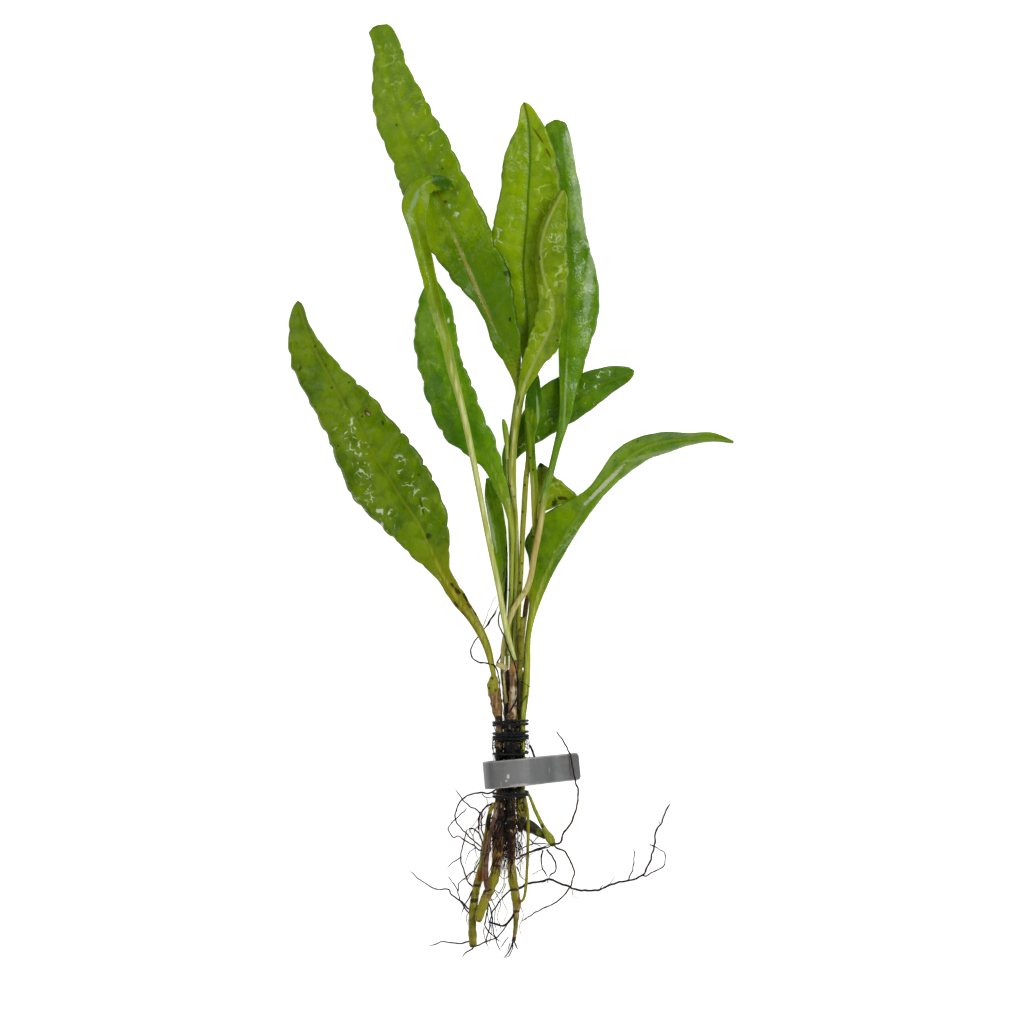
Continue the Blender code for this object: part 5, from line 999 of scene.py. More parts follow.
@dataclass(frozen=True)
class LeafLamina:
    """Fern leaf tissue, a thin waxy cuticle under a film of water.

    The blade reads as saturated yellow green with darker clouds, darker along the sunken veins as
    painted shade. In its highlight zones, broken bright outlines round the bulges are painted
    highlights of the water film. The stalk is paler, with a paler midrib line that is partly painted
    highlight.
    """

    name: str
    light: str
    deep: str
    shade: str
    rib: str
    stalk: str
    stalk_ridge_and_highlight: str
    green_from: float
    green_to: float
    rib_width: float = 0.5
    rib_strength: float = 0.6
    tip: str = ""
    tip_from: float = 0.0
    specks: float = 0.12
    dry: float = 0.34
    wet: float = 0.20
    rim_strength: float = 0.35
    bulge_gap: float = 2.6
    stains: tuple[StainOrPaintedLight, ...] = ()
    painted_glints: tuple[StainOrPaintedLight, ...] = ()

    def build(self) -> bpy.types.Material:
        """Makes the material.

        Returns:
            A material that reads the "blade" map and the "cell" and "edge" attributes.
        """
        surface = Surface(self.name, self.light)
        blade, across, along = surface.chart()
        cell = surface.attribute("cell")
        edge = surface.attribute("edge")
        # Clouds of deeper green, a few times wider than the gap between veins
        surface.paint(self.deep, surface.patches((9.0, 12.0, 9.0), 0.40, 0.62, 3.0))
        surface.paint(self.shade, surface.patches((3.4, 4.4, 3.4), 0.50, 0.70, 11.0), 0.6)
        surface.paint(self.light, surface.patches((1.8, 2.2, 1.8), 0.54, 0.66, 23.0), 0.5)
        # Darker along the sunken veins, in the grooves between the bulges: painted shade
        surface.paint(self.shade, surface.ramp(cell, 0.0, 0.75, 1.0, 0.0), 0.35)
        surface.paint(self.rib, surface.ramp(edge, 0.955, 1.0), self.rim_strength)
        reach = add_node(surface.tree, "Math", {"operation": "ABSOLUTE"}, {0: across}).outputs[0]
        if self.tip:
            surface.paint(self.tip, surface.ramp(along, self.tip_from, self.tip_from + 12.0), 0.85)
        line = surface.ramp(reach, 0.3 * self.rib_width, self.rib_width, 1.0, 0.0)
        surface.paint(self.rib, line, self.rib_strength)
        foot = surface.ramp(along, self.green_from, self.green_to, 1.0, 0.0)
        surface.paint(self.stalk, foot)
        # A paler streaked line along the top of the stalk: partly its pale midrib, partly painted
        # highlight on the round stalk
        ridge_and_highlight = surface.ramp(reach, 0.15, 0.75, 1.0, 0.0)
        pale = surface.ramp(along, self.green_from, self.green_to + 12.0, 1.0, 0.0)
        streaks = surface.patches((0.8, 9.0, 0.8), 0.35, 0.65, 31.0)
        surface.paint(self.stalk_ridge_and_highlight, surface.product(surface.product(ridge_and_highlight, pale), streaks))
        surface.paint("#2c3c04", surface.specks(3.1, 0.42, self.specks), 0.85)
        surface.paint("#4a3a08", surface.specks(2.3, 0.26, self.specks * 0.8), 0.8)
        # Spots and streaks of the leaf; some of them are painted sheen and painted shadow
        for mark in self.stains:
            surface.stain(mark)
        # Painted highlights round the bulges in each highlight zone
        surface.painted_glints(blade, self.painted_glints, self.bulge_gap)
        # The finest net of veins is about 1.2 mm wide
        net = add_node(surface.tree, "TexVoronoi", {"feature": "DISTANCE_TO_EDGE"},
                       {"Vector": blade, "Scale": 1.0 / 1.25})
        surface.bump(surface.ramp(net.outputs["Distance"], 0.0, 0.22), 0.05, 0.55)
        surface.bump(surface.patches((0.5, 0.5, 0.5), 0.2, 0.8, 5.0), 0.02, 0.4)
        film = surface.patches((3.0, 5.0, 3.0), 0.38, 0.62, 17.0)
        roughness = surface.ramp(film, 0.0, 1.0, self.dry, self.wet)
        return surface.done(roughness, IOR=1.26)


@dataclass(frozen=True)
class RhizomeRind:
    """Rind of a creeping fern stem: firm, knobbly and a little shiny, stained in rings."""

    name: str
    flesh: str
    pale: str
    stain: str
    dark: str = "#241a0c"
    pale_amount: float = 0.5
    stain_amount: float = 0.5
    dark_amount: float = 0.35
    stains: tuple[StainOrPaintedLight, ...] = ()

    def build(self) -> bpy.types.Material:
        """Makes the material."""
        surface = Surface(self.name, self.flesh)
        fibres = (0.55, 7.0, 0.7)
        surface.paint(self.pale, surface.patches(fibres, 0.42, 0.66, 2.0), self.pale_amount)
        surface.paint(self.stain, surface.patches((1.6, 2.2, 1.6), 0.46, 0.62, 9.0),
                      self.stain_amount)
        surface.paint(self.stain, surface.patches((6.0, 1.1, 6.0), 0.52, 0.66, 14.0),
                      self.stain_amount)
        surface.paint(self.dark, surface.patches((0.7, 1.5, 0.7), 0.56, 0.68, 19.0),
                      self.dark_amount)
        surface.paint(self.dark, surface.specks(1.7, 0.3, 0.35), self.dark_amount)
        for mark in self.stains:
            surface.stain(mark)
        surface.bump(surface.patches(fibres, 0.2, 0.8, 2.0), 0.10, 0.7)
        surface.bump(surface.patches((0.6, 0.9, 0.6), 0.2, 0.8, 40.0), 0.12, 0.8)
        film = surface.patches((1.5, 2.5, 1.5), 0.4, 0.6, 27.0)
        roughness = surface.ramp(film, 0.0, 1.0, 0.5, 0.26)
        return surface.done(roughness, IOR=1.3)


@dataclass(frozen=True)
class RootSkin:
    """Wiry fern root: nearly black with russet stretches, damp, finely ribbed."""

    name: str
    dark: str
    warm: str
    warm_amount: float = 0.6

    def build(self) -> bpy.types.Material:
        """Makes the material."""
        surface = Surface(self.name, self.dark)
        surface.paint(self.warm, surface.patches((5.0, 5.0, 5.0), 0.42, 0.62, 6.0),
                      self.warm_amount)
        surface.paint(self.dark, surface.patches((0.6, 0.6, 0.6), 0.5, 0.7, 12.0), 0.6)
        surface.bump(surface.patches((0.25, 0.25, 0.25), 0.2, 0.8, 3.0), 0.04, 0.8)
        return surface.done(0.45, IOR=1.28)


@dataclass(frozen=True)
class TwistedThread:
    """Black polyester thread of two plies, wet, with loose fibres and a blue cast."""

    name: str = "black_polyester_thread"

    def build(self) -> bpy.types.Material:
        """Makes the material."""
        surface = Surface(self.name, "#07090b")
        # Single filaments are far finer than a pixel, so they are drawn 0.15 mm wide
        surface.paint("#1c272c", surface.patches((0.15, 0.5, 0.15), 0.5, 0.75, 8.0), 0.5)
        surface.bump(surface.patches((0.12, 0.4, 0.12), 0.2, 0.8, 4.0), 0.05, 0.9)
        return surface.done(0.6, IOR=1.4)


@dataclass(frozen=True)
class RolledLead:
    """Rolled lead sheet cut to a strip: dull grey, brushed along its length, easily scratched."""

    name: str = "rolled_lead"
    turn: float = 5.4
    # Scratches, and patches of painted light and shade
    marks: tuple[StainOrPaintedLight, ...] = ()

    def build(self) -> bpy.types.Material:
        """Makes the material."""
        surface = Surface(self.name, "#7b7b7b")
        along = add_node(surface.tree, "Mapping", {"vector_type": "TEXTURE"}, {
            "Vector": surface.place, "Rotation": (0.0, 0.0, math.radians(self.turn))})
        lengthwise = along.outputs["Vector"]
        brushed = surface.patches((14.0, 0.22, 2.0), 0.3, 0.7, 2.0, lengthwise, 5.0)
        surface.paint("#6e6e6e", brushed, 0.6)
        surface.paint("#8c8b8b", surface.patches((9.0, 0.5, 2.0), 0.55, 0.75, 7.0, lengthwise), 0.5)
        surface.paint("#666868", surface.patches((5.0, 3.0, 5.0), 0.45, 0.7, 15.0), 0.4)
        # Paler along both long edges: painted highlight on the eased edges
        surface.paint("#b4b0ac", surface.ramp(surface.attribute("edge"), 0.86, 0.97), 0.7)
        # Scratches, and painted light and shade from the strip's bend
        for mark in self.marks:
            surface.stain(mark)
        surface.bump(brushed, 0.04, 0.5)
        surface.bump(surface.patches((1.2, 1.2, 1.2), 0.3, 0.8, 21.0), 0.05, 0.5)
        roughness = surface.ramp(brushed, 0.0, 1.0, 0.55, 0.45)
        return surface.done(roughness, Metallic=0.35, IOR=1.4)


@dataclass(frozen=True)
class PaperSweep:
    """Matt white paper under the plant, lit through from below so that it stays white."""

    name: str = "white_paper"
    glow: float = 0.85

    def build(self) -> bpy.types.Material:
        """Makes the material."""
        surface = Surface(self.name, "#f0f0ef")
        surface.paint("#ebebea", surface.patches((0.8, 0.8, 0.8), 0.4, 0.6), 0.5)
        surface.bump(surface.patches((0.4, 0.4, 0.4), 0.2, 0.8), 0.01, 0.2)
        surface.shader.inputs["Emission Color"].default_value = linear("#ffffff")
        return surface.done(0.95, IOR=1.2, Emission_Strength=self.glow)




@dataclass
class Leaf:
    """One fern leaf: a round stalk that widens to a thin, netted blade."""

    node: str
    lamina: LeafLamina
    rows: list[LeafRow]
    slot: Slot = Slot.LEAF
    puff: float = 0.26
    vein_gap: float = 4.3
    vein_slant: float = 0.45
    cell_width: float = 3.6
    frill: float = 0.45
    sway: float = 0.35
    lobe: float = 0.30
    lobe_length: float = 5.6
    seed: float = 1.0

    SIDES = 52
    STEP = 0.85
    BLADE_HALF = 0.22
    RIB_TIP_HALF = 0.32
    STALK_LIMIT = 1.2
    BLADE_LIMIT = 2.6
    RIPPLE_LENGTH = 15.0

    def __post_init__(self) -> None:
        """Reads the rows along the leaf."""
        self.stops = sample(self.rows, self.STEP)
        self.total = self.stops[-1].distance

    def bulge(self, side: float, along: float, reach: float) -> float:
        """Gives 0 on a vein and up to 1 in the middle of a cell of the vein net.

        Args:
            side: millimetres from the midrib, positive on the left.
            along: millimetres from the foot.
            reach: share of the way from the midrib to the margin.
        """
        place = Vector((side * 0.22, along * 0.22, self.seed * 5.0))
        wobble = noise.noise(place) * 2.2
        drift = noise.noise(place * 2.3 + Vector((9.0, 4.0, 2.0))) * 0.9
        shift = 0.5 if side > 0 else 0.0
        lateral = (along - abs(side) * self.vein_slant + wobble + drift) / self.vein_gap + shift
        cross = (abs(side) + drift * 1.4 + wobble * 0.4) / self.cell_width
        between = abs(math.sin(math.pi * lateral))**0.55
        inside = abs(math.sin(math.pi * cross))**0.55
        net = between * (0.45 + 0.55 * inside)
        return net * smooth(abs(side), 0.2, 1.2) * (1.0 - smooth(reach, 0.90, 1.0))

    def skin(self, ring: int, angle: float) -> Skin:
        """Gives the leaf's surface at a ring and an angle."""
        pole = ring == 0 or ring > len(self.stops)
        stop = self.stops[min(max(ring - 1, 0), len(self.stops) - 1)]
        x, y, z, left, right, rise_left, rise_right = stop.row
        flat = Vector((stop.heading.x, stop.heading.y, 0.0)).normalized()
        across = Vector((-flat.y, flat.x, 0.0))
        centre = Vector((x, y, z))
        if pole:
            return Skin(centre, 0.0, stop.distance, 0.5)
        narrow = min(left, right)
        share = stop.distance / self.total
        rib = mixed(min(narrow, 0.9), self.RIB_TIP_HALF, share)
        blade = smooth((left + right) / 2.0, self.STALK_LIMIT * rib, self.BLADE_LIMIT * rib)
        turn = angle / math.pi
        spread = 1.0 - 2.0 * turn if turn <= 1.0 else 2.0 * turn - 3.0
        side = mixed(math.cos(angle), spread, blade)
        up = math.sin(angle)
        top = 1.0 if up > 1e-6 else (-1.0 if up < -1e-6 else 0.0)
        width, rise = (left, rise_left) if side > 0 else (right, rise_right)
        reach = abs(side)
        rest = min(self.total - stop.distance, 1.4) / 1.4
        rounding = mixed(0.25, 1.0, math.sqrt(1.0 - (1.0 - rest)**2)) if blade > 0.4 else 1.0
        seed = self.seed + (7.0 if side > 0 else 3.0)
        ragged = noise.noise(Vector((stop.distance * 0.30, seed, 0.0)))
        lobes = abs(math.sin(math.pi * stop.distance / self.lobe_length + 1.6 * ragged + seed))
        scallop = self.lobe * (lobes**0.6 - 0.7) * blade * min(width / 6.0, 1.0)
        span = side * (width * (1.0 + 0.02 * ragged * blade) + scallop) * rounding
        round_height = min(narrow, 1.0) * up
        rib_height = rib * 0.55 * math.exp(-(span / max(0.8 * rib, 0.35))**2)
        flat_height = top * (self.BLADE_HALF * math.sqrt(max(0.0, 1.0 - reach**8)) + rib_height)
        phase = 1.3 if side > 0 else 3.9
        wave = math.sin(math.tau * stop.distance / self.RIPPLE_LENGTH + phase)
        fine = noise.noise(Vector((stop.distance * 0.26, self.seed * 3.0 + phase, 1.0)))
        full = blade * min(width / 6.0, 1.0)
        lift = rise * reach**1.4 + (self.frill * wave + 0.5 * fine) * reach**2 * full
        cell = self.bulge(span, stop.distance, reach)
        lift += self.puff * (cell - 0.35) * full
        drape = noise.noise(Vector((span * 0.09, stop.distance * 0.09, self.seed * 11.0)))
        lift += self.sway * drape * full
        groove = 0.22 * math.exp(-(span / 0.35)**2) * blade if top > 0 else 0.0
        height = mixed(round_height, flat_height, blade) + lift - groove
        spot = centre + across * span + Vector((0.0, 0.0, height))
        return Skin(spot, span, stop.distance, cell, reach * blade)

    def build(self) -> bpy.types.Object:
        """Makes the leaf in the place of its node."""
        mesh = loft(len(self.stops), self.SIDES, self.skin)
        return finish_piece(self.node + "_blade", mesh, self.lamina.build(),
                            [self.node])


@dataclass
class Stem:
    """One rhizome or stem with knobs, rings and fibres."""

    node: str
    rind: RhizomeRind
    rows: list[StemRow]
    slot: Slot = Slot.RHIZOME
    knobs: float = 0.10
    ring_gap: float = 3.4
    ring_height: float = 0.10
    seed: float = 1.0

    SIDES = 28
    STEP = 0.55

    def __post_init__(self) -> None:
        """Reads the rows along the stem."""
        self.stops = sample(self.rows, self.STEP)

    def skin(self, ring: int, angle: float) -> Skin:
        """Gives the stem's surface at a ring and an angle."""
        stop = self.stops[min(max(ring - 1, 0), len(self.stops) - 1)]
        x, y, z, half_width, half_height = stop.row
        if ring == 0 or ring > len(self.stops):
            return Skin(Vector((x, y, z)), 0.0, stop.distance)
        flat = Vector((stop.heading.x, stop.heading.y, 0.0)).normalized()
        across = Vector((-flat.y, flat.x, 0.0))
        side, up = math.cos(angle), math.sin(angle)
        place = Vector((side * 0.9, up * 0.9, stop.distance * 0.55)) + Vector((self.seed,) * 3)
        lumps = noise.noise(place) * 1.3 + 0.5 * noise.noise(place * 2.7)
        drift = noise.noise(Vector((stop.distance * 0.2, self.seed, 3.0)))
        ring_share = (stop.distance / self.ring_gap + 0.5 * drift + 0.06 * side) % 1.0
        rings = math.exp(-((ring_share - 0.5) / 0.09)**2)
        ribs = 0.03 * math.sin(9.0 * angle + 4.0 * drift)
        swell = 1.0 + self.knobs * lumps + self.ring_height * rings + ribs
        start, end = stop.distance, self.stops[-1].distance - stop.distance
        swell *= mixed(0.78, 1.0, smooth(min(start, end), 0.0, 0.6))
        lift = Vector((0.0, 0.0, up * half_height * swell))
        spot = Vector((x, y, z)) + across * (side * half_width * swell) + lift
        return Skin(spot, side * half_width, stop.distance)

    def build(self) -> bpy.types.Object:
        """Makes the stem in the place of its node."""
        mesh = loft(len(self.stops), self.SIDES, self.skin)
        return finish_piece(self.node + "_rind", mesh, self.rind.build(), [self.node])


class Strand:
    """A thin round piece along a smooth route, such as a root, a hair or a thread."""

    def __init__(self, points: Sequence[Sequence[float]], base: float, tip: float, step: float,
                 sides: int, kink: float = 0.0, rough: float = 0.0, seed: float = 0.0,
                 plies: int = 0, twist_length: float = 1.3, end: Cap = Cap.POINTED) -> None:
        """Works out the route and a frame at each stop.

        Args:
            points: points of the route in millimetres.
            base: half thickness at the first point.
            tip: half thickness at the last point.
            step: distance between rings.
            sides: points in a ring.
            kink: how far the route strays from the smooth curve.
            rough: how much the thickness varies, as a share.
            seed: picks the random pattern.
            plies: how many twisted plies show, or 0 for a plain round strand.
            twist_length: length of one full twist of the plies.
            end: how the far end is shaped.
        """
        self.base, self.tip, self.sides = base, tip, sides
        self.rough, self.seed, self.plies = rough, seed, plies
        self.twist_length, self.end = twist_length, end
        self.stops = sample([tuple(point) for point in points], step)
        self.total = self.stops[-1].distance
        self.spots = []
        for stop in self.stops:
            sway = Vector((0.0, 0.0, 0.0))
            for axis in range(3):
                place = Vector((stop.distance * 0.55, seed + 5.0 * axis, 2.0))
                sway[axis] = noise.noise(place) * kink * (0.5 if axis == 2 else 1.0)
            hold = smooth(min(stop.distance, self.total - stop.distance), 0.0, 1.5)
            self.spots.append(Vector(stop.row[:3]) + sway * hold)
        self.frames = []
        side = None
        before = None
        for index in range(len(self.spots)):
            low, high = max(index - 1, 0), min(index + 1, len(self.spots) - 1)
            heading = (self.spots[high] - self.spots[low]).normalized()
            if side is None:
                up = Vector((0.0, 0.0, 1.0)) if abs(heading.z) < 0.9 else Vector((1.0, 0.0, 0.0))
                side = heading.cross(up).normalized()
            else:
                side = (before.rotation_difference(heading) @ side)
                side = (side - heading * side.dot(heading)).normalized()
            before = heading
            self.frames.append((side, heading.cross(side)))

    def skin(self, ring: int, angle: float) -> Skin:
        """Gives the strand's surface at a ring and an angle."""
        index = min(max(ring - 1, 0), len(self.stops) - 1)
        distance = self.stops[index].distance
        if ring == 0 or ring > len(self.stops):
            return Skin(self.spots[index], 0.0, distance)
        side, lift = self.frames[index]
        radius = mixed(self.base, self.tip, distance / self.total)
        if self.rough:
            radius *= 1.0 + self.rough * noise.noise(Vector((distance * 0.9, self.seed, 8.0)))
        if self.plies:
            turn = angle - math.tau * distance / self.twist_length
            radius *= 0.84 + 0.16 * abs(math.cos(turn * self.plies / 2.0)) * 1.2
        if self.end is Cap.POINTED:
            radius *= mixed(0.35, 1.0, smooth(self.total - distance, 0.0, 1.2))
        way = side * math.cos(angle) + lift * math.sin(angle)
        return Skin(self.spots[index] + way * radius, radius * math.cos(angle), distance)

    def mesh(self) -> bmesh.types.BMesh:
        """Makes the strand's mesh in millimetres."""
        return loft(len(self.stops), self.sides, self.skin)


def joined(meshes: Iterable[bmesh.types.BMesh]) -> bmesh.types.BMesh:
    """Puts several meshes in one, and frees them."""
    whole = bmesh.new()
    for layer in ("cell", "edge"):
        whole.verts.layers.float.new(layer)
    whole.loops.layers.uv.new("blade")
    holder = bpy.data.meshes.new("holder")
    for mesh in meshes:
        mesh.to_mesh(holder)
        mesh.free()
        whole.from_mesh(holder)
    bpy.data.meshes.remove(holder)
    return whole


class Terrain:
    """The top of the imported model's stems and thread, for hairs that lie on them."""

    def __init__(self, nodes: Iterable[str]) -> None:
        """Collects the nodes' faces in millimetres."""
        corners: list[Vector] = []
        faces: list[tuple[int, ...]] = []
        for name in nodes:
            start = len(corners)
            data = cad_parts[name].data
            corners.extend(corner.co / MM for corner in data.vertices)
            faces.extend(tuple(start + index for index in face.vertices) for face in data.polygons)
        self.tree = BVHTree.FromPolygons(corners, faces)

    def height(self, x: float, y: float, ground: float = 0.6) -> float:
        """Gives the height of the highest surface at x and y, and at least the ground's."""
        hit = self.tree.ray_cast(Vector((x, y, 60.0)), Vector((0.0, 0.0, -1.0)))[0]
        return max(hit.z, ground) if hit else ground

    def laid(self, route: Sequence[tuple[float, float]], gap: float, sag: float) -> list[Point]:
        """Lays a route seen from above on the surface.

        Args:
            route: points x and y.
            gap: how far over the surface it lies.
            sag: the most that it may drop from one point to the next.

        Returns:
            The route with heights.
        """
        heights = [self.height(x, y) + gap for x, y in route]
        for order in (range(1, len(heights)), range(len(heights) - 2, -1, -1)):
            for index in order:
                other = heights[index - 1] if order.step > 0 else heights[index + 1]
                heights[index] = max(heights[index], other - sag)
        return [(x, y, z) for (x, y), z in zip(route, heights)]


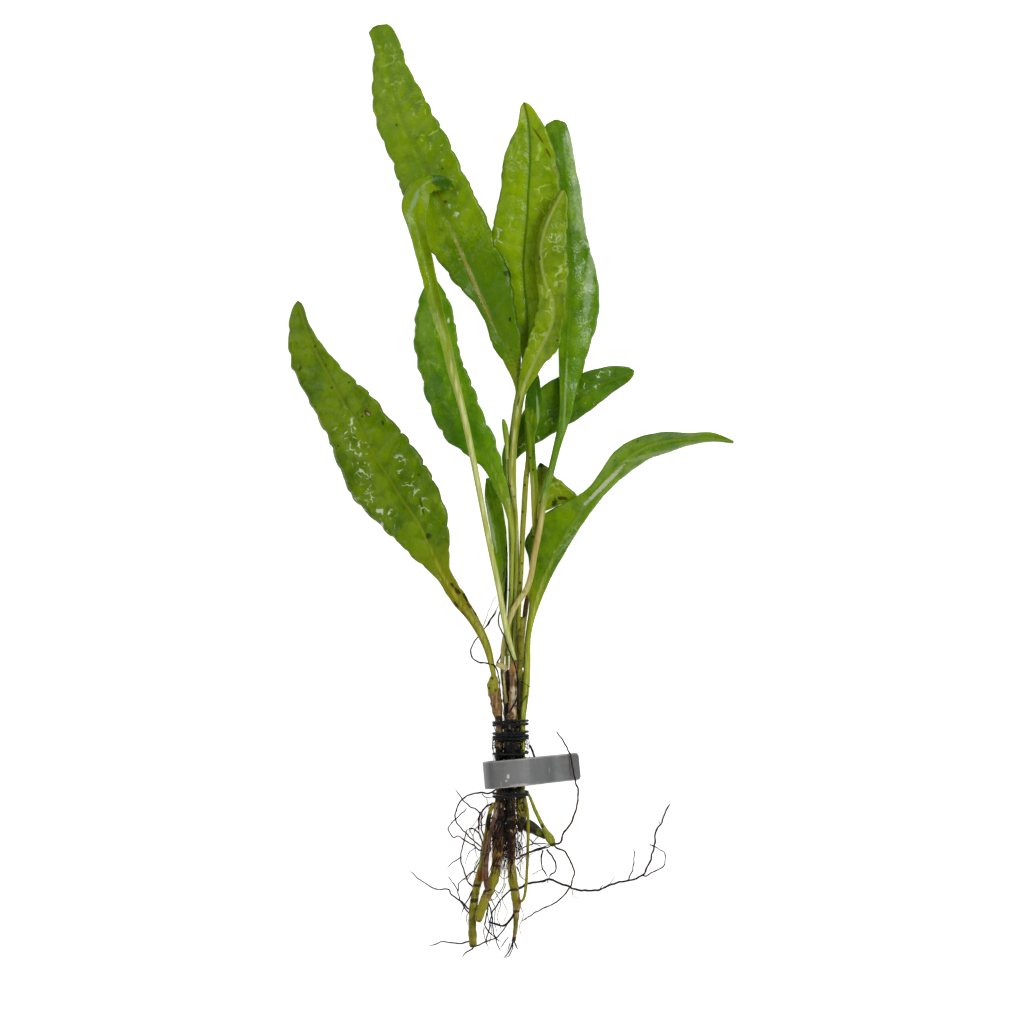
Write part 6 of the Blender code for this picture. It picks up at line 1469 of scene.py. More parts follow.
def laminas() -> dict[str, LeafLamina]:
    """Gives each leaf's finish, with its spots and streaks, painted sheen and shadow among them, and
    the zones of its painted highlights.
    """
    # Painted highlight colours: a bright one and a soft one
    painted_glint, soft = "#ccd8b4", "#a9c254"
    return {
        "leaf_left": LeafLamina(
            "lamina_broad", light="#708c04", deep="#577702", shade="#415b01", rib="#7f8c10",
            stalk="#7f7c12", stalk_ridge_and_highlight="#a6a838", green_from=22.0, green_to=44.0,
            rib_strength=0.5, specks=0.22, stains=(
                StainOrPaintedLight(-39.0, 20.7, 1.5, 2.6, "#4f3410", 48.0),
                StainOrPaintedLight(-38.7, 20.4, 0.7, 1.2, "#a5a58c", 48.0, 0.8),
                StainOrPaintedLight(-57.1, 32.8, 0.8, 1.6, "#3a4208", -20.0),
                StainOrPaintedLight(-53.1, 38.7, 0.8, 0.9, "#33480a"),
                StainOrPaintedLight(-34.7, 18.0, 0.8, 1.6, "#2f3c06", 15.0),
                StainOrPaintedLight(-48.6, 27.5, 0.8, 0.8, "#2f4606"),
                StainOrPaintedLight(-24.2, -4.6, 0.7, 5.0, "#2f3c06", 16.0, 0.8),
                StainOrPaintedLight(-22.4, -12.6, 1.6, 2.0, "#2f3c06"),
                StainOrPaintedLight(-16.0, -25.8, 0.9, 1.6, "#2a1f08", 38.0),
                StainOrPaintedLight(-14.6, -27.5, 1.3, 2.6, "#33280c", 38.0),
                StainOrPaintedLight(-12.4, -29.1, 1.2, 3.2, "#1e1608", 34.0),
                StainOrPaintedLight(-11.4, -31.3, 0.8, 2.4, "#3a2c0c", 34.0),
                StainOrPaintedLight(-9.9, -33.2, 0.6, 2.6, "#1c1406", 32.0),
                StainOrPaintedLight(-14.9, -31.1, 0.7, 2.6, "#2a1f08", 36.0),
                StainOrPaintedLight(-12.9, -33.9, 0.6, 2.6, "#241a08", 36.0),
                StainOrPaintedLight(-11.7, -35.9, 0.5, 2.2, "#3a2c0c", 34.0)),
            painted_glints=(StainOrPaintedLight(-41.6, 10.6, 6.4, 24.0, painted_glint, 14.0, 0.9),
                    StainOrPaintedLight(-36.4, -6.6, 9.0, 16.0, painted_glint, 42.0, 0.9),
                    StainOrPaintedLight(-28.2, 3.6, 4.6, 16.0, painted_glint, 24.0, 0.75),
                    StainOrPaintedLight(-23.4, -5.0, 3.4, 10.0, painted_glint, 14.0, 0.7),
                    StainOrPaintedLight(-47.6, 14.6, 3.0, 6.0, painted_glint, 20.0, 0.6))),
        "leaf_tall": LeafLamina(
            "lamina_tall", light="#7f9c05", deep="#6b8d03", shade="#527702", rib="#6c8a08",
            stalk="#7d8a0e", stalk_ridge_and_highlight="#9ca638", green_from=78.0, green_to=88.0,
            rib_strength=0.4, specks=0.10, bulge_gap=3.6, stains=(
                # A deeper green over the lower blade, where it lies in the hollow beside the curled
                # leaf: painted shade
                StainOrPaintedLight(-5.0, 50.0, 24.0, 44.0, "#3f6602", 24.0, 0.7),
                StainOrPaintedLight(-10.6, 57.0, 1.1, 34.0, "#948636", 24.0, 0.75),
                StainOrPaintedLight(-20.4, 81.4, 0.8, 16.0, "#6e7410", 22.0, 0.7),
                StainOrPaintedLight(-0.9, 58.2, 1.9, 3.2, "#1f3f04", 70.0),
                StainOrPaintedLight(2.6, 48.9, 1.8, 3.0, "#16330a", 75.0),
                StainOrPaintedLight(-0.4, 45.9, 0.9, 1.2, "#16330a"),
                StainOrPaintedLight(-17.8, 77.6, 1.2, 1.6, "#4a3a0c", -40.0, 0.8)),
            painted_glints=(StainOrPaintedLight(-22.0, 96.0, 7.0, 24.0, soft, 22.0, 0.8),
                    StainOrPaintedLight(-15.6, 79.0, 6.0, 16.0, painted_glint, 26.0, 0.7),
                    StainOrPaintedLight(-16.0, 66.0, 3.0, 14.0, painted_glint, 24.0, 0.5),
                    StainOrPaintedLight(-33.0, 112.0, 8.0, 22.0, soft, 8.0, 0.6))),
        "leaf_stalked": LeafLamina(
            "lamina_folded", light="#849f06", deep="#749004", shade="#607e04", rib="#7c9608",
            stalk="#b0b852", stalk_ridge_and_highlight="#d6da9c", green_from=56.0, green_to=100.0,
            rib_width=0.6, rib_strength=0.15, specks=0.03, rim_strength=0.1, stains=(
                StainOrPaintedLight(-21.4, 84.6, 9.0, 4.0, "#6a8c06", 0.0, 0.85),
                # Dark green where the folded tip curls down to the tall leaf: painted shadow
                StainOrPaintedLight(-18.6, 82.9, 7.6, 4.6, "#2f5a04", -24.0, 0.95),
                # Three pale streaks along the fold of the blade: painted sheen
                StainOrPaintedLight(-26.1, 77.6, 1.4, 8.4, "#8aa876", -22.0, 0.8),
                StainOrPaintedLight(-27.3, 70.4, 0.9, 8.0, "#86a45c", 4.0, 0.6),
                StainOrPaintedLight(-26.0, 64.0, 0.7, 9.0, "#7f9c4c", 14.0, 0.5))),
        "leaf_inner": LeafLamina(
            "lamina_inner", light="#6a950a", deep="#4f8004", shade="#3c6a02", rib="#4c7a02",
            stalk="#84941a", stalk_ridge_and_highlight="#a3b044", green_from=34.0, green_to=52.0,
            specks=0.05, rib_strength=0.3, bulge_gap=4.0, stains=(
                StainOrPaintedLight(-14.0, 17.0, 12.0, 18.0, "#3c6a04", 20.0, 0.5),
                StainOrPaintedLight(-23.0, 44.0, 5.0, 18.0, "#74980e", 0.0, 0.5),
                # A small painted highlight
                StainOrPaintedLight(-17.0, 45.6, 0.8, 1.6, "#c8d4b4")),
            painted_glints=(StainOrPaintedLight(-19.0, 33.0, 12.0, 30.0, soft, 12.0, 0.35),)),
        "leaf_back": LeafLamina(
            "lamina_pointed", light="#86a304", deep="#759503", shade="#587c02", rib="#466a02",
            stalk="#86901a", stalk_ridge_and_highlight="#a2a83a", green_from=70.0, green_to=84.0,
            rib_width=0.45, rib_strength=0.85, tip="#a9aa06", tip_from=146.0, specks=0.02,
            bulge_gap=4.0, stains=(
                StainOrPaintedLight(7.2, 95.6, 0.7, 6.0, "#5c4a10", 35.0),
                StainOrPaintedLight(9.9, 90.9, 0.7, 3.4, "#5c4a10", 28.0),
                StainOrPaintedLight(11.9, 86.5, 0.6, 4.0, "#6a5a10", 22.0, 0.8)),
            painted_glints=(StainOrPaintedLight(8.4, 80.0, 5.0, 40.0, soft, 0.0, 0.9),
                    StainOrPaintedLight(1.0, 82.0, 5.0, 34.0, soft, 0.0, 0.5),
                    StainOrPaintedLight(-3.4, 66.0, 4.0, 10.0, painted_glint, 0.0, 0.7))),
        "leaf_sheen": LeafLamina(
            "lamina_glossy", light="#71980a", deep="#547f04", shade="#426c03", rib="#5c8604",
            stalk="#b4ab5c", stalk_ridge_and_highlight="#d0c888", green_from=50.0, green_to=60.0,
            specks=0.05, stains=(
                StainOrPaintedLight(6.2, -17.1, 2.6, 22.0, "#b09c54", -8.0, 0.6),
                StainOrPaintedLight(3.4, -27.6, 0.6, 1.4, "#8c6a3c", -50.0, 0.6),
                StainOrPaintedLight(6.6, -14.0, 0.5, 1.6, "#8c6a3c", -12.0, 0.5),
                # The grey stripe along the midrib and the whitish band along the right margin:
                # painted sheen
                StainOrPaintedLight(14.6, 26.0, 0.7, 22.0, "#8fa05c", -3.0, 0.7),
                StainOrPaintedLight(21.0, 56.0, 2.6, 26.0, "#a9bd90", -6.0, 0.4),
                StainOrPaintedLight(18.2, 78.0, 3.0, 26.0, "#a9bd90", 8.0, 0.4),
                StainOrPaintedLight(16.2, 92.0, 1.6, 12.0, "#b4c4a0", 14.0, 0.5)),
            painted_glints=(StainOrPaintedLight(19.8, 62.0, 5.0, 52.0, "#b9cc9c", 2.0, 0.55),)),
        "leaf_curled": LeafLamina(
            "lamina_crumpled", light="#869f0a", deep="#708c06", shade="#4f7004", rib="#a4ae50",
            stalk="#8c980e", stalk_ridge_and_highlight="#c6c884", green_from=58.0, green_to=80.0,
            rib_width=0.7, rib_strength=0.6, specks=0.16, bulge_gap=3.0, stains=(
                StainOrPaintedLight(-0.4, 0.9, 0.7, 0.9, "#4a3008"), StainOrPaintedLight(0.7, -2.0, 0.6, 0.8, "#5a3c0a"),
                StainOrPaintedLight(0.8, -5.8, 0.6, 0.8, "#5a3c0a"),
                StainOrPaintedLight(0.9, -14.0, 1.6, 26.0, "#8c8a1a", 0.0, 0.6),
                StainOrPaintedLight(7.6, 62.4, 0.8, 1.4, "#1f3a06"),
                StainOrPaintedLight(15.4, 49.9, 0.9, 1.2, "#2a3c08"),
                StainOrPaintedLight(10.4, 30.5, 0.8, 1.2, "#5a5a10"),
                StainOrPaintedLight(1.9, 24.0, 0.5, 3.0, "#5a4a14", -14.0),
                StainOrPaintedLight(3.9, 20.0, 0.6, 2.4, "#4a3a10", -10.0)),
            painted_glints=(StainOrPaintedLight(11.0, 58.0, 8.0, 30.0, "#b4c878", 0.0, 0.7),
                    StainOrPaintedLight(7.0, 40.0, 6.0, 12.0, "#b4c878", -20.0, 0.5))),
        "leaf_low": LeafLamina(
            "lamina_low", light="#5f8506", deep="#477002", shade="#335a02", rib="#6f8c14",
            stalk="#858c1c", stalk_ridge_and_highlight="#a2a83e", green_from=48.0, green_to=58.0,
            specks=0.04, rib_strength=0.3, painted_glints=(
                StainOrPaintedLight(22.0, 29.0, 4.0, 12.0, painted_glint, -62.0, 0.9),
                StainOrPaintedLight(20.0, 22.6, 1.6, 14.0, painted_glint, -62.0, 0.9),
                StainOrPaintedLight(10.4, 20.0, 5.0, 8.0, "#8fae6c", -20.0, 0.8),
                StainOrPaintedLight(5.6, 13.0, 2.0, 9.0, painted_glint, -62.0, 0.7))),
        "leaf_twisted": LeafLamina(
            "lamina_twisted", light="#6f9006", deep="#587d04", shade="#3f6403", rib="#80982c",
            stalk="#8b9616", stalk_ridge_and_highlight="#b4bc54", green_from=40.0, green_to=54.0,
            rib_width=0.6, rib_strength=0.45, specks=0.16, stains=(
                StainOrPaintedLight(3.9, -62.0, 0.4, 26.0, "#3a2c0c", -3.0, 0.7),
                # Pale grey streaks along the fold of the twist: painted sheen
                StainOrPaintedLight(25.0, 1.2, 1.3, 18.0, "#b9c2a4", -45.0, 0.75),
                StainOrPaintedLight(17.4, -12.0, 0.9, 16.0, "#8d9c6c", -42.0, 0.5),
                StainOrPaintedLight(36.5, 9.0, 1.2, 16.0, "#8fa064", -76.0, 0.45)),
            painted_glints=(StainOrPaintedLight(14.0, -16.0, 5.0, 22.0, "#8fae5c", -40.0, 0.5),)),
        "leaf_crinkled": LeafLamina(
            "lamina_crinkled", light="#829606", deep="#6a8004", shade="#3f5803", rib="#6c8008",
            stalk="#7c801a", stalk_ridge_and_highlight="#989a3a", green_from=36.0, green_to=44.0,
            specks=0.4, bulge_gap=2.0, stains=(
                StainOrPaintedLight(11.6, -3.6, 2.4, 1.6, "#22360a", 60.0),
                StainOrPaintedLight(7.9, 6.6, 1.6, 1.8, "#1c2c08"), StainOrPaintedLight(13.6, -2.4, 4.0, 1.2, "#2c380a"),
                StainOrPaintedLight(8.4, -3.2, 2.4, 1.2, "#2c380a", 20.0)),
            painted_glints=(StainOrPaintedLight(11.0, 0.0, 8.0, 8.0, soft, 0.0, 0.6),)),
        "leaf_narrow": LeafLamina(
            "lamina_narrow", light="#70930a", deep="#5a8004", shade="#466a02", rib="#6c9010",
            stalk="#76880e", stalk_ridge_and_highlight="#8c9c3c", green_from=10.0, green_to=20.0,
            # The pale streak by the left margin is painted sheen; the black line on the stalk is a
            # hair.
            specks=0.2, stains=(StainOrPaintedLight(-5.6, -9.0, 0.9, 18.0, "#a5b08c", 12.0, 0.55),
                                StainOrPaintedLight(-1.6, -27.0, 0.6, 14.0, "#14180a", -4.0, 0.9))),
        "frond_young": LeafLamina(
            "lamina_young", light="#7d9808", deep="#6e8c06", shade="#527804", rib="#8ca024",
            stalk="#809410", stalk_ridge_and_highlight="#a9b460", green_from=0.0, green_to=4.0, specks=0.05),
        "leaf_dark": LeafLamina(
            "lamina_olive", light="#73900a", deep="#5f8004", shade="#406002", rib="#7c9018",
            stalk="#7f840e", stalk_ridge_and_highlight="#989c30", green_from=42.0, green_to=56.0,
            specks=0.35, stains=(
                StainOrPaintedLight(6.0, 26.0, 6.0, 12.0, "#2c5802", 0.0, 0.85),
                # The grey green streak is painted sheen
                StainOrPaintedLight(7.2, 20.0, 0.8, 14.0, "#8fae6c", 4.0, 0.7),
                StainOrPaintedLight(3.6, 1.2, 0.7, 0.8, "#3c2408"), StainOrPaintedLight(3.1, -6.1, 0.7, 0.8, "#3c2408"),
                StainOrPaintedLight(2.3, -14.2, 0.8, 1.0, "#3c2408"), StainOrPaintedLight(2.8, -19.9, 0.7, 0.8, "#4a3008"),
                StainOrPaintedLight(3.1, -22.5, 0.6, 0.8, "#4a3008"), StainOrPaintedLight(2.3, -25.2, 0.8, 0.9, "#3c2408"))),
        "leaf_thin": LeafLamina(
            "lamina_thin", light="#6f8e08", deep="#527a04", shade="#355a03", rib="#7c8c1c",
            stalk="#7c8212", stalk_ridge_and_highlight="#9ca03c", green_from=36.0, green_to=48.0,
            specks=0.35, stains=(
                StainOrPaintedLight(3.7, -32.2, 2.2, 8.6, "#3a1c10", -12.0, 0.95),
                StainOrPaintedLight(5.0, 8.5, 0.7, 0.9, "#3c2408"), StainOrPaintedLight(5.8, 5.3, 0.7, 0.9, "#3c2408"),
                StainOrPaintedLight(5.8, -12.8, 0.9, 1.0, "#3c2408"),
                StainOrPaintedLight(6.0, 0.6, 0.4, 9.0, "#b4b88c", 2.0, 0.5))),
    }


@dataclass
class LeafClump:
    """All leaves, each in the place of its node."""

    finishes: dict[str, LeafLamina] = field(default_factory=laminas)
    shapes: dict[str, dict[str, Any]] = field(default_factory=lambda: {
        "leaf_left": {"puff": 0.50, "vein_gap": 5.0, "cell_width": 4.2, "lobe": 0.8},
        "leaf_tall": {"puff": 0.42, "vein_gap": 5.2, "lobe": 0.7},
        "leaf_stalked": {"slot": Slot.PALE_STALK, "puff": 0.12, "sway": 0.1},
        "leaf_inner": {"puff": 0.34, "vein_gap": 5.0, "lobe": 0.9, "lobe_length": 6.4},
        "leaf_back": {"puff": 0.42, "vein_gap": 4.3, "vein_slant": 0.2},
        "leaf_sheen": {"puff": 0.32, "vein_gap": 6.0, "cell_width": 5.0},
        "leaf_curled": {"puff": 0.42, "vein_gap": 4.0, "cell_width": 2.8, "frill": 0.8, "lobe": 0.8},
        "leaf_low": {"puff": 0.42, "vein_gap": 3.8},
        "leaf_twisted": {"puff": 0.26, "vein_gap": 5.0},
        "leaf_crinkled": {"puff": 0.50, "vein_gap": 3.2, "cell_width": 2.6, "lobe": 0.6},
    })
    # Where a stalk grows out of a rhizome: rows in front of the model's first row
    feet: dict[str, list[LeafRow]] = field(default_factory=lambda: {
        "leaf_left": [(-4.9, -51.0, 6.4, 0.7, 0.7, 0.0, 0.0)],
        "leaf_dark": [(2.2, -40.0, 5.7, 0.55, 0.55, 0.0, 0.0)],
        "leaf_thin": [(3.0, -40.0, 5.3, 0.6, 0.6, 0.0, 0.0)],
    })

    def build(self) -> None:
        """Makes every leaf."""
        for index, (node, lamina) in enumerate(self.finishes.items()):
            shape = {"seed": 1.0 + index, **self.shapes.get(node, {})}
            rows = self.feet.get(node, []) + LEAF_ROWS[node]
            Leaf(node, lamina, rows, **shape).build()


def rinds() -> dict[str, RhizomeRind]:
    """Gives each stem's finish, with its coloured stretches."""
    mat, dark = "#0a0a09", "#241808"
    return {
        "rhizome_left": RhizomeRind(
            "rind_knobbly", flesh="#86642c", pale="#cdbd98", stain="#5c3a12", stain_amount=0.75,
            pale_amount=0.7, stains=(
                StainOrPaintedLight(-5.0, -52.4, 4.8, 5.6, "#8f900a", 0.0, 0.9),
                StainOrPaintedLight(-5.2, -50.9, 0.7, 0.8, "#3a2a08"), StainOrPaintedLight(-4.3, -54.2, 0.9, 1.2, "#4a3008"),
                StainOrPaintedLight(-6.0, -53.6, 0.7, 1.0, "#4a3008"),
                StainOrPaintedLight(-3.0, -61.8, 3.6, 1.6, mat), StainOrPaintedLight(-3.0, -75.0, 6.0, 15.0, mat),
                StainOrPaintedLight(-3.3, -83.6, 4.4, 2.2, mat),
                StainOrPaintedLight(-4.7, -88.4, 1.1, 9.6, "#a8927a", 0.0, 0.8),
                StainOrPaintedLight(-3.4, -88.4, 1.5, 10.0, "#50403c"), StainOrPaintedLight(-2.2, -88.4, 1.4, 10.0, "#3e2814"),
                StainOrPaintedLight(-3.8, -97.8, 3.4, 7.0, "#80601a", 0.0, 0.85),
                StainOrPaintedLight(-5.2, -105.6, 4.6, 8.0, "#8a870c", 0.0, 0.9),
                StainOrPaintedLight(-8.2, -113.0, 5.6, 8.6, "#8f8c0c", 0.0, 0.9),
                StainOrPaintedLight(-4.0, -94.2, 3.4, 0.7, dark), StainOrPaintedLight(-4.2, -101.6, 3.4, 0.7, dark),
                StainOrPaintedLight(-6.6, -108.4, 3.6, 0.8, dark, 20.0))),
        "rhizome_fork": RhizomeRind(
            "rind_fork", flesh="#85820c", pale="#b8b060", stain="#6a4a10", stain_amount=0.35,
            stains=(StainOrPaintedLight(-6.0, -89.8, 2.6, 6.0, "#15100c"),
                    StainOrPaintedLight(-6.8, -96.6, 3.2, 6.6, "#7d5c18", 0.0, 0.85),
                    StainOrPaintedLight(-7.9, -104.4, 3.2, 4.4, "#8c5212", 0.0, 0.9),
                    StainOrPaintedLight(-9.0, -107.0, 3.4, 0.9, dark), StainOrPaintedLight(-10.0, -111.1, 3.6, 1.5, dark),
                    StainOrPaintedLight(-10.4, -118.5, 3.4, 7.0, "#6a680c", 0.0, 0.8),
                    StainOrPaintedLight(-10.4, -124.0, 3.0, 2.4, "#1c1408"))),
        "stem_old": RhizomeRind(
            "dead_stem", flesh="#6e4a38", pale="#92705c", stain="#3c2418", dark="#1c120e",
            stains=(StainOrPaintedLight(-5.5, -92.6, 1.8, 3.6, "#4c342c"),)),
        "rhizome_middle": RhizomeRind(
            "rind_banded", flesh="#a2804a", pale="#d8ccaa", stain="#64400f", pale_amount=0.8,
            stain_amount=0.85, stains=(
                StainOrPaintedLight(0.3, -48.2, 3.8, 3.6, "#a6732a", 0.0, 0.8),
                StainOrPaintedLight(0.5, -55.0, 0.9, 5.0, "#ddd6ba", 0.0, 0.6),
                StainOrPaintedLight(-1.2, -58.2, 1.2, 5.6, "#14110e"),
                StainOrPaintedLight(0.0, -73.0, 6.4, 25.0, mat), StainOrPaintedLight(-0.9, -88.6, 2.6, 14.0, "#120e0a"),
                StainOrPaintedLight(0.5, -88.0, 1.6, 9.0, "#3a2412", 0.0, 0.9),
                StainOrPaintedLight(0.0, -98.0, 3.0, 5.5, "#5f3c18", 0.0, 0.85),
                StainOrPaintedLight(0.2, -107.5, 4.0, 15.0, "#86830e", 0.0, 0.85),
                StainOrPaintedLight(0.9, -108.1, 3.2, 1.0, dark), StainOrPaintedLight(1.3, -114.0, 3.2, 0.9, dark),
                StainOrPaintedLight(1.0, -117.6, 2.4, 6.0, "#6c6a0c", 0.0, 0.8),
                StainOrPaintedLight(0.6, -122.0, 2.2, 2.6, dark))),
        "rhizome_right": RhizomeRind(
            "rind_green", flesh="#7c7812", pale="#b0ac54", stain="#54380e", stains=(
                StainOrPaintedLight(2.3, -74.0, 5.0, 16.0, mat), StainOrPaintedLight(2.2, -83.0, 3.4, 0.9, mat),
                StainOrPaintedLight(3.0, -90.2, 2.2, 4.6, "#120e0a"), StainOrPaintedLight(1.6, -91.4, 2.4, 3.0, "#2a1c10"))),
        "rhizome_back": RhizomeRind(
            "rind_dark", flesh="#3c2e1a", pale="#54462c", stain="#20150a"),
        "rhizome_cross": RhizomeRind(
            "rind_pale", flesh="#c4b878", pale="#dcd8a4", stain="#8e6c2a", stain_amount=0.35,
            dark_amount=0.15),
        "stem_olive": RhizomeRind(
            "olive_stem", flesh="#76740f", pale="#97932e", stain="#46300c", dark="#1e1608",
            stains=(StainOrPaintedLight(2.1, -56.5, 3.0, 14.0, "#34240f", 0.0, 0.85),)),
        "stalk_yellow": RhizomeRind(
            "yellow_stalk", flesh="#88860e", pale="#b4ae44", stain="#64560e", stain_amount=0.35,
            dark_amount=0.1),
        "branch_green": RhizomeRind(
            "green_branch", flesh="#858a10", pale="#b4b44a", stain="#66680c", stain_amount=0.35,
            dark_amount=0.15, stains=(
                StainOrPaintedLight(11.3, -96.2, 2.8, 1.8, "#1c1408"), StainOrPaintedLight(8.3, -90.9, 1.0, 1.4, "#2a1c0c"))),
        "branch_woody": RhizomeRind(
            "woody_branch", flesh="#2a2010", pale="#443820", stain="#130e08", stains=(
                StainOrPaintedLight(7.6, -92.6, 2.0, 2.6, "#6e7410", 0.0, 0.85),)),
    }


@dataclass
class RhizomeBundle:
    """The rhizomes and stems that the thread and the weight hold together."""

    finishes: dict[str, RhizomeRind] = field(default_factory=rinds)
    smooth_stems: tuple[str, ...] = ("stem_olive", "stalk_yellow", "branch_green")
    old_stems: tuple[str, ...] = ("stem_old", "rhizome_back", "branch_woody")
    # Where a stem grows into its neighbour: rows before and after the model's own
    ends: dict[str, tuple[list[StemRow], list[StemRow]]] = field(default_factory=lambda: {
        "stem_olive": ([(3.1, -34.4, 5.6, 0.7, 0.6)], []),
        "stalk_yellow": ([(3.7, -82.9, 6.5, 0.28, 0.28)], [(2.0, -111.6, 1.7, 0.35, 0.35)]),
        "branch_green": ([(4.0, -81.6, 4.9, 0.35, 0.35)], []),
        "branch_woody": ([(1.6, -89.6, 3.4, 0.9, 0.9)], [(9.4, -94.0, 2.3, 0.8, 0.8)]),
        "stem_old": ([(-4.6, -88.6, 5.9, 0.6, 0.6)], []),
        "rhizome_fork": ([(-4.8, -84.6, 5.0, 0.6, 0.6)], []),
    })

    def build(self) -> None:
        """Makes every stem in the place of its node."""
        for index, (node, rind) in enumerate(self.finishes.items()):
            plain = node in self.smooth_stems
            slot = Slot.OLD_STEM if node in self.old_stems else Slot.RHIZOME
            head, tail = self.ends.get(node, ([], []))
            Stem(node, rind, head + STEM_ROWS[node] + tail, slot=slot,
                 knobs=0.03 if plain else 0.14, ring_height=0.02 if plain else 0.12,
                 seed=3.0 + 2.0 * index).build()


class RootTone(Enum):
    """The three colours that the roots have."""

    BLACK = "black"
    RUSSET = "russet"
    TEAL = "teal"


@dataclass
class RootSpray:
    """The wiry roots, the hairs on them and the fibres that lie over the bundle."""

    kink: float = 0.34
    rough: float = 0.30
    root_sides: int = 9
    root_step: float = 0.45
    hair_sides: int = 6
    hair_step: float = 0.5
    russet_roots: tuple[str, ...] = (
        "root_left_red", "root_right_outer", "root_over_weight", "root_right_upper",
        "root_left_outer", "root_bow")
    teal_roots: tuple[str, ...] = ("root_low_teal", "root_crown_loop", "root_crown_hair")
    fibre_count: int = 230
    mat_count: int = 300
    bundle_nodes: tuple[str, ...] = (
        "rhizome_left", "rhizome_fork", "stem_old", "rhizome_middle", "rhizome_right",
        "rhizome_back", "thread_upper", "thread_middle", "thread_waist", "thread_lower",
        "stalk_yellow", "branch_woody", "leaf_twisted")

    def __post_init__(self) -> None:
        """Makes the three finishes and reads the bundle's surface."""
        self.skins = {
            RootTone.BLACK: RootSkin("root_black", "#0e0a09", "#3a1c10", 0.5).build(),
            RootTone.RUSSET: RootSkin("root_russet", "#1e0e0a", "#5a2a14", 0.75).build(),
            RootTone.TEAL: RootSkin("root_teal", "#080c0c", "#141e1e", 0.6).build(),
        }
        self.terrain = Terrain(self.bundle_nodes)
        self.dice = random.Random(7)

    def tone(self, node: str) -> RootTone:
        """Gives a root's colour."""
        if node in self.russet_roots:
            return RootTone.RUSSET
        return RootTone.TEAL if node in self.teal_roots else RootTone.BLACK

    def build_roots(self) -> None:
        """Makes each root in the place of its node."""
        for index, (node, (base, tip, points)) in enumerate(ROOT_ROUTES.items()):
            foot, end = ROOT_ENDS.get(node, ([], []))
            points = foot + points + end
            strand = Strand(points, base, tip, self.root_step, self.root_sides, self.kink,
                            self.rough, seed=2.0 + 3.0 * index)
            finish_piece(node + "_wiry", strand.mesh(), self.skins[self.tone(node)],
                         [node])

    def build_fine_roots(self) -> None:
        """Makes the thin side roots, joined in one piece."""
        strands = []
        for index, (radius, points) in enumerate(FINE_ROOTS):
            strands.append(Strand(points, radius, radius * 0.6, self.hair_step, self.hair_sides,
                                  self.kink * 0.7, self.rough, seed=60.0 + index))
        finish_piece("fine_roots", joined(strand.mesh() for strand in strands),
                     self.skins[RootTone.BLACK])

    def build_fibres(self) -> None:
        """Makes the dark fibres that run down the bundle below the weight."""
        meshes = []
        for index in range(self.fibre_count):
            x = self.dice.gauss(-0.8, 1.3) if index % 4 else self.dice.uniform(-6.8, 3.8)
            y = self.dice.uniform(-83.5, -97.0)
            length = self.dice.uniform(3.0, 11.0)
            slope = self.dice.gauss(-0.12, 0.28)
            count = 5
            route = [(x + slope * length * part / count + self.dice.gauss(0.0, 0.22),
                      y - length * part / count) for part in range(count + 1)]
            points = self.terrain.laid(route, 0.14, 1.1)
            radius = self.dice.uniform(0.07, 0.16)
            strand = Strand(points, radius, radius * 0.5, 0.7, self.hair_sides, 0.3, 0.2,
                            seed=200.0 + index)
            meshes.append(strand.mesh())
        finish_piece("bundle_fibres", joined(meshes), self.skins[RootTone.BLACK])

    def build_mat(self) -> None:
        """Makes the matted black root hair between the turns of thread."""
        meshes = []
        for index in range(self.mat_count):
            loose = index % 3 == 0
            x = self.dice.uniform(-4.6, 4.4) if loose else self.dice.uniform(-2.4, 2.6)
            y = self.dice.uniform(-66.5, -73.0) if loose else self.dice.uniform(-61.6, -84.2)
            length = self.dice.uniform(1.6, 5.0)
            heading = self.dice.uniform(0.0, math.tau)
            curl = self.dice.gauss(0.0, 0.5)
            route = []
            for part in range(6):
                low, high = (-5.0, 4.8) if loose else (-2.6, 3.0)
                x, y = min(max(x, low), high), min(max(y, -84.6), -61.4)
                if not route or math.dist(route[-1], (x, y)) > 0.1:
                    route.append((x, y))
                x += math.cos(heading) * length / 5
                y += math.sin(heading) * length / 5
                heading += curl
            if len(route) < 3:
                continue
            points = self.terrain.laid(route, 0.12, 0.8)
            radius = self.dice.uniform(0.07, 0.15)
            strand = Strand(points, radius, radius * 0.6, 0.6, self.hair_sides, 0.2, 0.2,
                            seed=500.0 + index)
            meshes.append(strand.mesh())
        finish_piece("root_hair_mat", joined(meshes), self.skins[RootTone.TEAL])

    def build(self) -> None:
        """Makes the whole spray."""
        self.build_roots()
        self.build_fine_roots()
        self.build_fibres()
        self.build_mat()


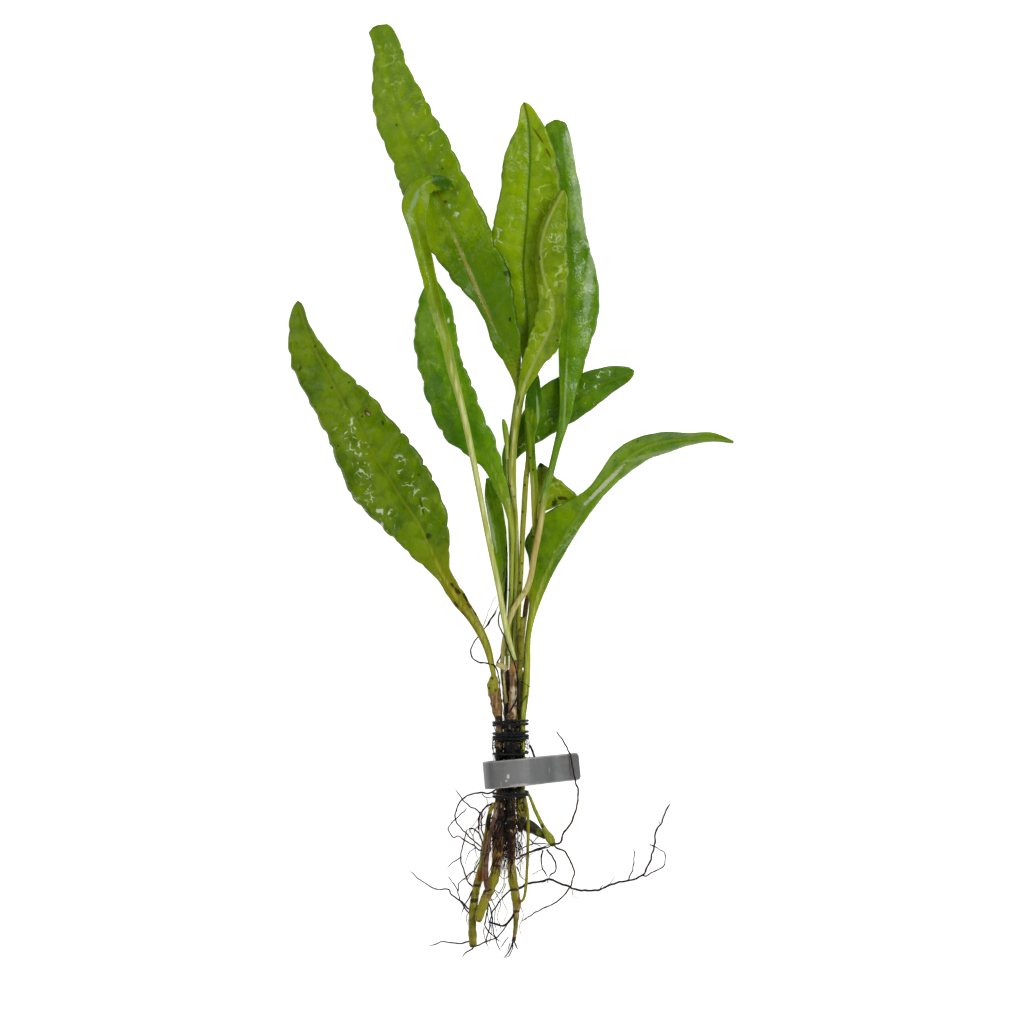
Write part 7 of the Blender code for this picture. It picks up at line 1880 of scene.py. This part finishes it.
@dataclass
class ThreadBinding:
    """The black thread wound round the bundle above and below the weight."""

    radius: float = 0.31
    centre: tuple[float, float] = (-0.25, 4.85)
    half_width: float = 4.65
    half_height: float = 3.6
    squareness: float = 3.0
    points_a_turn: int = 40
    pitch: float = 0.78
    slack: float = 0.10
    windings: dict[str, tuple[float, float]] = field(default_factory=lambda: {
        "thread_upper": (-62.2, 2.0), "thread_middle": (-65.3, 3.1),
        "thread_waist": (-70.9, 1.0), "thread_lower": (-81.6, 2.0)})
    end_route: tuple[Point, ...] = (
        (4.9, -69.0, 5.6), (5.5, -70.2, 4.9), (5.9, -71.5, 4.0), (6.2, -72.2, 3.2))

    def turn_point(self, angle: float, y: float) -> Point:
        """Gives a point of a turn round the bundle."""
        power = 2.0 / self.squareness
        side, up = math.cos(angle), math.sin(angle)
        x = self.centre[0] + self.half_width * math.copysign(abs(side)**power, side)
        z = self.centre[1] + self.half_height * math.copysign(abs(up)**power, up)
        return (x, y, z)

    def strand(self, points: Sequence[Point], seed: float, end: Cap) -> Strand:
        """Makes one length of two ply thread."""
        return Strand(points, self.radius, self.radius, 0.2, 12, self.slack, 0.1, seed,
                      plies=2, twist_length=1.25, end=end)

    def build(self) -> None:
        """Makes each winding in the place of its node."""
        material = TwistedThread().build()
        for index, (node, (start, turns)) in enumerate(self.windings.items()):
            points = []
            for step in range(round(self.points_a_turn * turns) + 1):
                angle = -math.pi / 2 + math.tau * step / self.points_a_turn
                slip = 0.16 * math.sin(angle * 1.7 + index)
                points.append(self.turn_point(
                    angle, start - self.pitch * step / self.points_a_turn + slip))
            mesh = self.strand(points, 30.0 + index, Cap.BLUNT).mesh()
            finish_piece(node + "_twisted", mesh, material, [node])
        mesh = self.strand(self.end_route, 40.0, Cap.BLUNT).mesh()
        finish_piece("thread_end_twisted", mesh, material, ["thread_end"])


@dataclass
class LeadStrip:
    """The strip of lead bent round the bundle, as a thick ribbon with eased edges."""

    width: float = 7.4
    thickness: float = 1.0
    length_right: float = 19.0
    front_end: float = 16.6
    bend_x: float = -3.1
    bend_half_width: float = 3.5
    front_height: float = 9.4
    place: tuple[float, float] = (-0.45, -76.6)
    turn: float = math.radians(5.4)
    corner: float = 0.9
    edge: float = 0.32
    columns: int = 190
    rows: int = 16

    def path(self) -> list[tuple[float, float]]:
        """Gives the strip's middle line seen from the roots, as x and z."""
        ground = self.thickness / 2
        middle = (ground + self.front_height) / 2
        rise = (self.front_height - ground) / 2
        path = [(self.length_right, ground), (8.0, ground), (self.bend_x, ground)]
        for index in range(1, 8):
            angle = -math.pi / 2 - math.pi * index / 8
            path.append((self.bend_x + self.bend_half_width * math.cos(angle),
                         middle + rise * math.sin(angle)))
        path += [(self.bend_x, self.front_height), (0.5, 9.45), (3.4, 9.2), (5.6, 8.3),
                 (7.6, 6.6), (9.6, 4.5), (11.6, 2.9), (13.8, 2.1), (self.front_end, 1.95)]
        return path

    def build(self) -> bpy.types.Object:
        """Makes the strip in the place of its node."""
        stops = sample([(x, 0.0, z) for x, z in self.path()], 0.25)
        total = stops[-1].distance
        mesh = bmesh.new()
        for layer in ("cell", "edge"):
            mesh.verts.layers.float.new(layer)
        rim = mesh.verts.layers.float["edge"]
        bmesh.ops.create_grid(mesh, x_segments=self.columns, y_segments=self.rows, size=0.5)
        for corner in mesh.verts:
            share, across = corner.co.x + 0.5, 2.0 * corner.co.y
            along = share * total
            stop = stops[min(round(share * (len(stops) - 1)), len(stops) - 1)]
            near_end = min(along, total - along)
            cut = self.corner - math.sqrt(max(0.0, self.corner**2 - max(
                0.0, self.corner - near_end)**2))
            wear = 0.05 * noise.noise(Vector((along * 0.5, across, 4.0)))
            half = self.width / 2 - cut + wear
            dent = 0.07 * noise.noise(Vector((along * 0.16, across * 0.8, 9.0)))
            x, z = stop.row[0], stop.row[2] + (dent if stop.row[2] > 1.0 else 0.0)
            corner.co = Vector((x, across * half, z))
            corner[rim] = abs(across)
        bmesh.ops.rotate(mesh, cent=(0.0, 0.0, 0.0), verts=mesh.verts[:],
                         matrix=Quaternion((0.0, 0.0, 1.0), self.turn).to_matrix())
        bmesh.ops.translate(mesh, vec=(*self.place, 0.0), verts=mesh.verts[:])
        # A lighter middle and darker sides where the strip bends over the bundle, and a bright band
        # along its lower edge, are painted light and shade; the small pale spots and thin lines are
        # scratches.
        material = RolledLead(marks=(
            StainOrPaintedLight(0.6, -76.6, 6.6, 9.0, "#8a8888", 5.0, 0.5),
            StainOrPaintedLight(9.6, -76.0, 10.0, 9.0, "#666a6a", 5.0, 0.45),
            StainOrPaintedLight(-5.6, -77.6, 3.6, 9.0, "#6b6b6b", 5.0, 0.6),
            StainOrPaintedLight(-0.9, -77.4, 0.9, 1.4, "#d9d6c8"), StainOrPaintedLight(-1.4, -78.6, 0.5, 0.8, "#cfcabb"),
            StainOrPaintedLight(-2.8, -79.3, 0.35, 1.8, "#a9a8a4", 0.0, 0.7),
            StainOrPaintedLight(10.2, -75.8, 0.3, 1.8, "#a0a0a0", 0.0, 0.6),
            StainOrPaintedLight(2.1, -79.8, 6.2, 1.2, "#bcb6b0", 5.0, 0.7))).build()
        piece = finish_piece("lead_strip_rolled", mesh, material, ["lead_strip"])
        walled = piece.modifiers.new("walled", "SOLIDIFY")
        walled.thickness = self.thickness * MM
        walled.offset = 0.0
        eased = piece.modifiers.new("eased_edge", "BEVEL")
        eased.width = self.edge * MM
        eased.segments = 3
        eased.limit_method = "ANGLE"
        eased.angle_limit = math.radians(50.0)
        eased.harden_normals = False
        return piece


@dataclass
class Studio:
    """The paper sweep, the soft lights and the camera that looks straight down."""

    pixels: int = 1024
    mm_per_pixel: float = 0.27
    aim: tuple[float, float, float] = (0.135, -6.08, 5.0)
    distance: float = 2600.0
    floor_half: float = 4000.0
    floor_drop: float = 0.05
    light_distance: float = 950.0
    # Azimuth and elevation in degrees, power in watts and width in millimetres
    lights: tuple[tuple[float, float, float, float], ...] = (
        (32.0, 48.0, 5.2, 330.0), (150.0, 48.0, 2.2, 620.0), (235.0, 44.0, 1.6, 620.0),
        (310.0, 46.0, 2.0, 620.0), (60.0, 66.0, 0.35, 90.0))
    sky_low: float = 0.62
    sky_high: float = 0.03

    def build_floor(self) -> None:
        """Makes the floor, a little under the plant so that they don't share a plane."""
        mesh = bmesh.new()
        bmesh.ops.create_grid(mesh, x_segments=8, y_segments=8, size=self.floor_half * MM)
        bmesh.ops.translate(mesh, vec=(0.0, 0.0, -self.floor_drop * MM), verts=mesh.verts[:])
        data = bpy.data.meshes.new("paper_sweep")
        mesh.to_mesh(data)
        mesh.free()
        data.materials.append(PaperSweep().build())
        floor = bpy.data.objects.new("paper_sweep", data)
        bpy.context.scene.collection.objects.link(floor)

    def build_lights(self) -> None:
        """Makes the soft boxes, each aimed at the plant from its azimuth and elevation."""
        for index, (azimuth, elevation, power, width) in enumerate(self.lights):
            lamp = bpy.data.lights.new(f"soft_box_{index}", "AREA")
            lamp.shape = "SQUARE"
            lamp.size = width * MM
            lamp.energy = power
            turn, lift = math.radians(azimuth), math.radians(elevation)
            way = Vector((math.cos(turn) * math.cos(lift), math.sin(turn) * math.cos(lift),
                          math.sin(lift)))
            holder = bpy.data.objects.new(lamp.name, lamp)
            holder.location = way * self.light_distance * MM
            holder.rotation_euler = way.to_track_quat("Z", "Y").to_euler()
            bpy.context.scene.collection.objects.link(holder)
        world = bpy.data.worlds.new("studio_air")
        world.use_nodes = True
        tree = world.node_tree
        way = add_node(tree, "TexCoord").outputs["Generated"]
        height = add_node(tree, "SeparateXYZ", inputs={0: way}).outputs["Z"]
        # Dark overhead, as above a black copy stand, and pale walls
        fade = add_node(tree, "MapRange", {"interpolation_type": "SMOOTHSTEP"}, {
            0: height, 1: 0.35, 2: 0.85, 3: self.sky_low, 4: self.sky_high})
        tree.links.new(fade.outputs[0], tree.nodes["Background"].inputs["Strength"])
        bpy.context.scene.world = world

    def build_camera(self) -> None:
        """Makes the camera straight above the plant, with the photograph's frame."""
        lens = bpy.data.cameras.new("camera")
        frame_width = self.pixels * self.mm_per_pixel
        lens.lens = lens.sensor_width * self.distance / frame_width
        lens.clip_end = 20.0
        camera = bpy.data.objects.new("camera", lens)
        camera.location = (self.aim[0] * MM, self.aim[1] * MM, (self.aim[2] + self.distance) * MM)
        bpy.context.scene.collection.objects.link(camera)
        bpy.context.scene.camera = camera
        bpy.context.scene.view_settings.view_transform = "Standard"

    def build(self) -> None:
        """Makes the studio."""
        self.build_floor()
        self.build_lights()
        self.build_camera()


def main() -> None:
    """Builds the studio and dresses every sub-part."""
    logging.basicConfig(level=logging.INFO, format="%(message)s")
    Studio().build()
    LeafClump().build()
    RhizomeBundle().build()
    RootSpray().build()
    ThreadBinding().build()
    LeadStrip().build()


if __name__ == "__main__":
    main()
